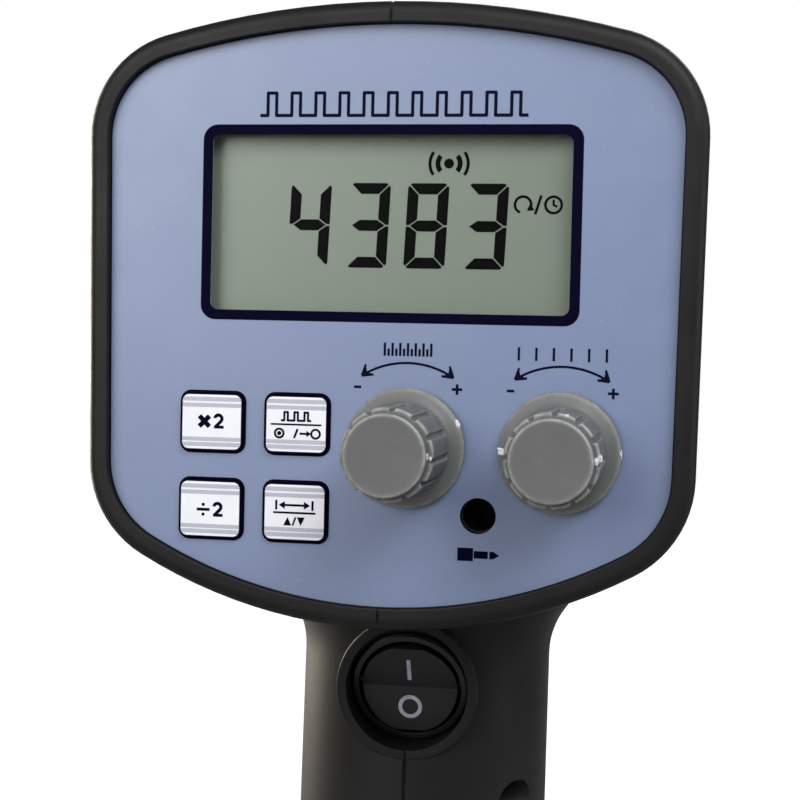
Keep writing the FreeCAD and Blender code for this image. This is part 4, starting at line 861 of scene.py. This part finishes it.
def key_divide_two_print():
    return moved(glyph_divide(2.6, GLYPH_LINE), -1.37, -0.14) + moved(glyph_two(2.66, NUMERAL_LINE), 0.66, -1.49)


KEY_PULSES = {"left": -3.0, "low": 0.75, "high": 2.35, "pitch": 2.0, "duty": 0.35, "count": 3}
TRIGGER_BAR = (10.0, 0.34, (0, -0.02))
# The two choices: a ring with a dot, and an arrow into a ring.
CHOICE_UP = -1.75
CHOICE_RING = 0.85
CHOICE_DOT = 0.42
INSIDE_ACROSS = -3.3
OUTSIDE_ACROSS = 3.9
CHOICE_SLASH = ((-0.35, -2.65), (0.35, -0.85))


def key_trigger_print():
    """Flash pulses over a bar; under it the signal from inside or outside."""
    shapes = stroke(pulses(**KEY_PULSES), FINE_LINE) + rectangle(*TRIGGER_BAR)
    for across in (INSIDE_ACROSS, OUTSIDE_ACROSS):
        shapes += arc_band(CHOICE_RING, FINE_LINE, 0, 360, 28, (across, CHOICE_UP))
    shapes += disc(CHOICE_DOT, (INSIDE_ACROSS, CHOICE_UP), 16) + stroke(CHOICE_SLASH, FINE_LINE)
    arrow = rectangle(2.0, FINE_LINE, (1.75, 0)) + [[(2.1, -0.6), (3.0, 0), (2.1, 0.6)]]
    return shapes + moved(arrow, up=CHOICE_UP)


SPAN_UP = 1.35
SPAN_HALF = 3.6
RANGE_BAR = (8.4, 0.38, (0, -0.12))
# The up and down arrows lie between these heights, with the slash between them.
ARROWS_LOW, ARROWS_HIGH = -2.6, -0.95
ARROW_SIDES = (0.55, 1.32, 2.1)
RANGE_SLASH = ((-0.3, ARROWS_LOW), (0.3, ARROWS_HIGH))
RANGE_SLASH_LINE = 0.336


def key_range_print():
    """A span between two stops over a bar; under it up and down."""
    span = rectangle(5.0, FINE_LINE)
    for side in (-1, 1):
        span += rectangle(FINE_LINE, 1.9, (side * SPAN_HALF, 0))
        span.append([(side * 3.1, 0), (side * 1.9, 0.75), (side * 1.9, -0.75)])
    near, tip, far = ARROW_SIDES
    shapes = moved(span, up=SPAN_UP) + rectangle(*RANGE_BAR)
    shapes.append([(-far, ARROWS_LOW), (-near, ARROWS_LOW), (-tip, ARROWS_HIGH)])
    shapes.append([(near, ARROWS_HIGH), (far, ARROWS_HIGH), (tip, ARROWS_LOW)])
    return shapes + stroke(RANGE_SLASH, RANGE_SLASH_LINE)


def key_prints():
    """Silver bands and a black mark on the face of each key."""
    marks = (key_times_two_print(), key_trigger_print(), key_divide_two_print(), key_range_print())
    bands = [key_band(up, height) for up, height in KEY_BANDS]
    for (name, body), mark in zip(KEYS.items(), marks):
        place = place_on(name, KEY_TOP)
        plate(name + "_bands", bands, place, INK, silver_ink, body)
        plate(name + "_mark", mark, place, INK, black_ink, body)


# ---- rocker marks
# How far each half of the paddle leans from the line across its V, and the line's lean at rest.
ROCKER_V = math.radians(9.0)
ROCKER_LEAN = math.radians(108.0)
# Height of the V's middle line over the paddle's pivot.
ROCKER_RISE = 3.1 * MM
# (width, height, place up the paddle), and (radius, line, place up the paddle)
STROKE_MARK = (0.85, 5.4, 4.5)
RING_MARK = (2.2, 0.85, -4.6)


def rocker_plane(up):
    """The upper or lower half of the paddle's V, its drawing plane at the V's middle line."""
    pivot = Vector(joint("rocker_tilt")["pos_m"])
    paddle = Matrix.Translation(pivot) @ Matrix.Rotation(ROCKER_LEAN, 4, "X")
    half = Matrix.Rotation(ROCKER_V if up else -ROCKER_V, 4, "X")
    return paddle @ Matrix.Translation((0, 0, ROCKER_RISE)) @ half


def rocker_marks():
    """The stroke for on and the ring for off."""
    width, height, up = STROKE_MARK
    radius, line, down = RING_MARK
    for name, shapes, above in (("mark_on", rectangle(width, height, (0, up)), True),
                                ("mark_off", arc_band(radius, line, 0, 360, 40, (0, down)), False)):
        plate(name, shapes, rocker_plane(above), INK, mark_ink, "rocker")


# ---- knobs
# The grooves go in no further than the ledge under the cap.
LEDGE_RADIUS = 7.8
# (radius, height over the knob's foot, whether the grooves cut it, wear and painted highlight of the edge)
KNOB_PROFILE = (
    (0.0, 13.0, 0, 0), (3.0, 13.0, 0, 0), (3.0, 4.2, 0, 0), (7.4, 4.2, 0, 0), (7.4, 0.0, 0, 0),
    (11.3, 0.0, 0, 0), (11.5, 0.2, 0, 0.2), (11.5, 0.85, 0, 0.3), (11.4, 1.02, 0, 0.6), (10.7, 1.48, 0, 0.1),
    (10.4, 1.57, 0, 0.05), (9.6, 1.92, 0, 0), (9.1, 2.2, 0, 0), (8.84, 2.55, 0, 0), (8.75, 2.9, 0, 0.05),
    (8.74, 3.05, 1, 0.05), (8.68, 11.0, 1, 0), (8.63, 19.6, 1, 0.1), (8.58, 19.95, 1, 0.7), (8.44, 20.2, 1, 1.0),
    (8.2, 20.34, 1, 0.6), (7.95, 20.36, 1, 0.05), (7.68, 20.37, 0, 0), (7.62, 20.5, 0, 0), (7.6, 20.8, 0, 0),
    (7.58, 22.5, 0, 0.15), (7.54, 22.74, 0, 0.7), (7.38, 22.94, 0, 0.9), (7.14, 23.03, 0, 0.45),
    (6.85, 23.0, 0, 0.08), (6.4, 22.96, 0, 0), (3.0, 22.94, 0, 0), (0.0, 22.94, 0, 0))
KNOB_GROOVES = 12
GROOVE_DEPTH = 0.6
# Half a groove and half a rib: (degrees from the groove's middle, share of its depth, wear and painted highlight
# of the edge)
GROOVE_PROFILE = ((0.0, 1.0, 0), (1.7, 1.0, 0), (2.6, 0.92, 0), (3.1, 0.62, 0.1), (3.6, 0.3, 0.35),
                  (4.3, 0.09, 0.5), (5.4, 0.0, 0.15), (8.5, 0.0, 0), (12.0, 0.0, 0), (15.0, 0.0, 0))
# Where the photo's knobs have a groove, in degrees.
KNOB_TURN = {"fine": 24.1, "coarse": 27.6}


def knob_columns(turn):
    """The (angle, groove share, wear and painted highlight) of each column round a fluted knob."""
    half = [(-angle, share, wear_and_highlight) for angle, share, wear_and_highlight in reversed(GROOVE_PROFILE[1:-1])] + list(GROOVE_PROFILE)
    pitch = 360 / KNOB_GROOVES
    return [(math.radians(turn + index * pitch + angle), share, wear_and_highlight)
            for index in range(KNOB_GROOVES) for angle, share, wear_and_highlight in half]


def knob_place(side):
    """The knob's own frame: its foot's centre, out towards the user."""
    node = side + "_knob"
    spot = middle(node) - CENTRE
    return panel_place(spot.x, spot.z, CENTRE.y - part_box(node)[1].y)


def knob(side):
    """A fluted knob on a skirt, with a ledge and a flat cap, turned as one profile."""
    columns = knob_columns(KNOB_TURN[side])
    build = bmesh.new()
    # Each corner's paleness: rubbed wear, and a painted edge highlight.
    paler_edge_share = build.verts.layers.float.new("wear_and_highlight")
    rings = []
    for radius, height, fluted, row_wear_and_highlight in KNOB_PROFILE:
        rings.append([])
        for angle, share, column_wear_and_highlight in columns if radius else [(0, 0, 0)]:
            cut = max(radius - GROOVE_DEPTH * share, LEDGE_RADIUS) if fluted else radius
            corner = build.verts.new(Vector((cut * math.cos(angle), cut * math.sin(angle), height)) * MM)
            corner[paler_edge_share] = max(row_wear_and_highlight * (1 - share), column_wear_and_highlight) if fluted else row_wear_and_highlight
            rings[-1].append(corner)
    skin(build, rings)
    bmesh.ops.recalc_face_normals(build, faces=build.faces)
    smooth(build.faces)
    piece = finished(side + "_knob_turned", build, knob_place(side), MATERIALS["knob_plastic"],
                     side + "_control")
    piece.data.set_sharp_from_angle(angle=SHARP)
    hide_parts(side + "_knob")


# (size, fineness) of the lumps of dried paint, and the step through the noise from dab to dab
LUMPS = ((0.55, 1.3), (0.2, 4.0))
DAB_STRIDE = 3.1
# (radius, angle in degrees, height, half sizes outwards, along the edge and up)
DABS = {
    "fine": ((7.5, 1.5, 21.2, (0.24, 0.75, 0.8)), (11.25, 25.4, 0.95, (0.45, 0.8, 0.4)),
             (7.95, -2.5, 20.3, (0.3, 0.45, 0.2))),
    "coarse": ((10.65, 179.3, 1.3, (0.9, 0.75, 0.35)), (8.35, 4.4, 20.0, (0.62, 0.85, 0.5)),
               (7.85, 1.0, 20.5, (0.35, 0.7, 0.5)), (11.4, 0.9, 0.7, (0.25, 0.95, 0.45)),
               (8.4, 72.0, 20.2, (0.3, 0.35, 0.18))),
}


def paint_dabs():
    """Lumps of marker paint on the edges of the knobs."""
    for side, dabs in DABS.items():
        for index, (radius, angle, height, (out, along, up)) in enumerate(dabs):
            build = bmesh.new()
            bmesh.ops.create_icosphere(build, subdivisions=4, radius=1.0)
            start = Vector((index * DAB_STRIDE, radius, angle))
            for vertex in build.verts:
                vertex.co *= 1 + sum(size * noise.noise(vertex.co * fine + start) for size, fine in LUMPS)
            smooth(build.faces)
            turn = Matrix.Rotation(math.radians(angle), 4, "Z")
            spot = Matrix.Translation(Vector((radius, 0, height)) * MM)
            size = Matrix.Diagonal((out * MM, along * MM, up * MM, 1.0))
            place = knob_place(side) @ turn @ spot @ size
            finished("%s_dab_%d" % (side, index), build, place, marker_paint, side + "_control")


# ---- grip
GRIP_RAKE = math.tan(math.radians(4.0))
# How far the skin's middle line is in front of the solids' one.
GRIP_AHEAD = 1.6
GRIP_HALF_WIDTH = 28.1
GRIP_HALF_DEPTH = 27.9
# The flare under the head: two arcs of this radius, each of this many degrees, from this height.
FLARE_START = 75.0
FLARE_RADIUS = 18.0
FLARE_TURN = 38.0
FLARE_STEPS = 7
# How much less the grip flares at its front than at its sides and back.
FLARE_FADE = 0.9
# Half the gap between the grip's halves, and the bevel of its edges.
SEAM_HALF = 0.28
SEAM_EDGE = 0.22
SWITCH_HEIGHT = 71.0
SWITCH_BORE = 15.1
# Where the way into the switch's pocket starts and ends, from the grip's middle line.
SWITCH_WAY = (-40.0, 14.0)
SCREW_BORE = 4.15
# How far to the right the screw recesses start and end.
SCREW_WAY = (8.0, 40.0)
# (depth from the grip's middle line, height) of the screw recesses in the right side
SCREW_HOLES = ((-14.0, 46.0), (15.0, 84.0))
# (height, half width, half depth, ahead, flare) where the grip runs out into the foot
FOOT_ROWS = ((6.0, 28.2, 27.7, 0.0, 0.0), (7.2, 28.52, 28.02, 0.0, 0.0), (10.0, 28.38, 27.98, 0.3, 0.0),
             (14.0, 28.22, 27.94, 0.7, 0.0), (21.0, 28.13, 27.9, 1.25, 0.0))
# Heights of the straight part, and of the rows inside the head.
STRAIGHT_ROWS = (30.0, 52.0)
HEAD_ROWS = (104.0, 116.0)


def grip_rows():
    """(height, half width, half depth, ahead, flare) up the grip, from inside the foot to inside the head."""
    turns = [math.radians(FLARE_TURN * step / FLARE_STEPS) for step in range(FLARE_STEPS + 1)]
    out = [(FLARE_RADIUS * (1 - math.cos(turn)), FLARE_RADIUS * math.sin(turn)) for turn in turns]
    reach, rise = out[-1]
    back = [(2 * reach - x, 2 * rise - y) for x, y in reversed(out[:-1])]
    path = [(0.0, height) for height in STRAIGHT_ROWS] + [(x, FLARE_START + y) for x, y in out + back]
    path += [(2 * reach, height) for height in HEAD_ROWS]
    rows = [(height, GRIP_HALF_WIDTH, GRIP_HALF_DEPTH, GRIP_AHEAD, flare) for flare, height in path]
    return list(FOOT_ROWS) + rows


def grip_outline(side, height, half_width, half_depth, ahead, flare, steps=56):
    """One half of the grip's oval at a height, from the seam at the back round to the seam at the front."""
    centre = height * GRIP_RAKE + ahead
    edge = math.degrees(math.asin((SEAM_HALF + SEAM_EDGE) / half_width))
    points = [(SEAM_HALF, centre - half_depth + SEAM_EDGE)]
    for x, y in arc(1.0, -90 + edge, 90 - edge, steps):
        share = 1 - FLARE_FADE * max(0.0, y)
        points.append(((half_width + flare * share) * x, centre + half_depth * y))
    points.append((SEAM_HALF, centre + half_depth - SEAM_EDGE))
    return [Vector((side * x, y, height)) * MM for x, y in points]


def tube(radius, start, end, steps=64):
    """A closed cylinder between two points."""
    build = bmesh.new()
    start, end = Vector(start) * MM, Vector(end) * MM
    along = end - start
    place = Matrix.Translation((start + end) / 2) @ along.to_track_quat("Z", "Y").to_matrix().to_4x4()
    bmesh.ops.create_cone(build, cap_ends=True, segments=steps, radius1=radius * MM, radius2=radius * MM,
                          depth=along.length, matrix=place)
    return add_object("cutter", to_mesh("cutter", build))


def cut_out(piece, cutters):
    """Takes closed shapes out of a piece, and removes them from the scene."""
    for cutter in cutters:
        step = piece.modifiers.new("cut", "BOOLEAN")
        step.operation = "DIFFERENCE"
        step.solver = "EXACT"
        step.object = cutter
    seen = piece.evaluated_get(bpy.context.evaluated_depsgraph_get())
    mesh = bpy.data.meshes.new_from_object(seen)
    piece.modifiers.clear()
    piece.data = mesh
    for cutter in cutters:
        bpy.data.objects.remove(cutter)


def grip_shell(name, side):
    """One half of the grip's skin, with the way into the switch's pocket and the screw recesses left open."""
    build = bmesh.new()
    rings = [[build.verts.new(point) for point in grip_outline(side, *row)] for row in grip_rows()]
    skin(build, rings)
    build.faces.new(rings[0])
    build.faces.new(rings[-1])
    bmesh.ops.recalc_face_normals(build, faces=build.faces)
    piece = finished(name, build, Matrix.Identity(4), MATERIALS["housing_plastic"], BODY)
    line = SWITCH_HEIGHT * GRIP_RAKE
    cutters = [tube(SWITCH_BORE, *((0, line + depth, SWITCH_HEIGHT) for depth in SWITCH_WAY))]
    if side > 0:
        for depth, height in SCREW_HOLES:
            place = height * GRIP_RAKE + depth
            cutters.append(tube(SCREW_BORE, *((across, place, height) for across in SCREW_WAY)))
    cut_out(piece, cutters)
    for face in piece.data.polygons:
        face.use_smooth = True
    piece.data.set_sharp_from_angle(angle=SHARP)


# ---- build
window_border()
title_pulses()
for side in TICKS:
    turn_arrow(side)
key_borders()
plug_mark()
display_segments()
key_prints()
rocker_marks()
for side in KNOB_TURN:
    knob(side)
paint_dabs()
grip_shell("grip_skin_left", -1)
grip_shell("grip_skin_right", 1)


# ---- camera, lights, stage
CAMERA_PLACE = Vector((55.45, -357.64, 145.14)) * MM
CAMERA_AIM = Vector((3.07, -56.0, 134.28)) * MM
CAMERA_ROLL = math.radians(1.315)
# In millimetres, which Blender takes for these two.
CAMERA_LENS = 72.0
CAMERA_SENSOR = 36.0
CAMERA_NEAR = 10 * MM
# Where the lamps point, in metres.
HEAD = (0.0, -0.05, 0.15)
GRIP = (0.0, 0.0, 0.06)
BARREL = (0.0, 0.05, 0.15)
# (name, place and aim in metres, width and height, watts, colour)
LAMPS = (
    ("key_light", (-0.499, -0.79, 0.475), HEAD, (0.7, 0.7), 6.0, (1.0, 0.99, 0.975)),
    ("front_light", (0.186, -0.796, 0.708), HEAD, (0.8, 0.5), 2.7, WHITE),
    ("fill_light", (0.497, -0.602, 0.819), HEAD, (0.6, 0.5), 6.8, (0.95, 0.97, 1.0)),
    ("edge_light", (-0.62, 0.36, 0.10), GRIP, (0.35, 0.6), 10.5, (1.0, 0.92, 0.76)),
    ("side_light", (0.841, -0.079, 0.268), HEAD, (0.4, 0.7), 1.8, (0.9, 0.95, 1.0)),
    ("back_light", (0.25, 0.9, 0.7), BARREL, (0.8, 0.6), 8.0, WHITE),
)
# The floor is grey for the light that falls on it. The camera sees it pale, with a glow of its own.
FLOOR_GREY = (0.25, 0.25, 0.25)
FLOOR_PALE = (0.8, 0.8, 0.8)
FLOOR_GLOW = 1.15
GLOW_SHARE = 0.85
FLOOR_HALF = 4.0
SKY_COLOUR = (0.92, 0.95, 1.0, 1.0)
SKY_STRENGTH = 0.12


def looking(place, aim):
    """A place whose -Z looks at the aim."""
    turn = (Vector(aim) - Vector(place)).to_track_quat("-Z", "Y").to_matrix().to_4x4()
    return Matrix.Translation(place) @ turn


def camera():
    data = bpy.data.cameras.new("camera")
    data.lens = CAMERA_LENS
    data.sensor_width = CAMERA_SENSOR
    data.clip_start = CAMERA_NEAR
    view = add_object("camera", data)
    view.matrix_world = looking(CAMERA_PLACE, CAMERA_AIM) @ Matrix.Rotation(CAMERA_ROLL, 4, "Z")
    bpy.context.scene.camera = view


def soft_light(name, place, aim, size, power, colour):
    data = bpy.data.lights.new(name, "AREA")
    data.shape = "RECTANGLE"
    data.size, data.size_y = size
    data.energy = power
    data.color = colour
    add_object(name, data).matrix_world = looking(place, aim)


def floor():
    build = bmesh.new()
    bmesh.ops.create_grid(build, x_segments=4, y_segments=4, size=FLOOR_HALF)
    finish = bpy.data.materials.new("stage_white")
    finish.use_nodes = True
    graph = Graph(finish.node_tree)
    seen = graph.add("ShaderNodeLightPath").outputs["Is Camera Ray"]
    plain = graph.add("ShaderNodeBsdfDiffuse", Color=graph.mix(seen, FLOOR_GREY, FLOOR_PALE))
    glow = graph.add("ShaderNodeEmission", Color=(*WHITE, 1.0), Strength=FLOOR_GLOW)
    share = graph.math("MULTIPLY", seen, GLOW_SHARE)
    graph.add("ShaderNodeOutputMaterial",
              Surface=graph.blend(share, plain.outputs["BSDF"], glow.outputs["Emission"]))
    mesh = to_mesh("floor", build)
    mesh.materials.append(finish)
    add_object("floor", mesh)


def world():
    """A faint cool light from all round, and plain white for the camera."""
    made = bpy.data.worlds.new("studio")
    bpy.context.scene.world = made
    made.use_nodes = True
    graph = Graph(made.node_tree)
    seen = graph.add("ShaderNodeLightPath").outputs["Is Camera Ray"]
    faint = graph.add("ShaderNodeBackground", Color=SKY_COLOUR, Strength=SKY_STRENGTH)
    white = graph.add("ShaderNodeBackground", Color=(*WHITE, 1.0))
    graph.add("ShaderNodeOutputWorld",
              Surface=graph.blend(seen, faint.outputs["Background"], white.outputs["Background"]))


camera()
world()
floor()
for lamp in LAMPS:
    soft_light(*lamp)

bpy.context.scene.view_settings.view_transform = "Standard"
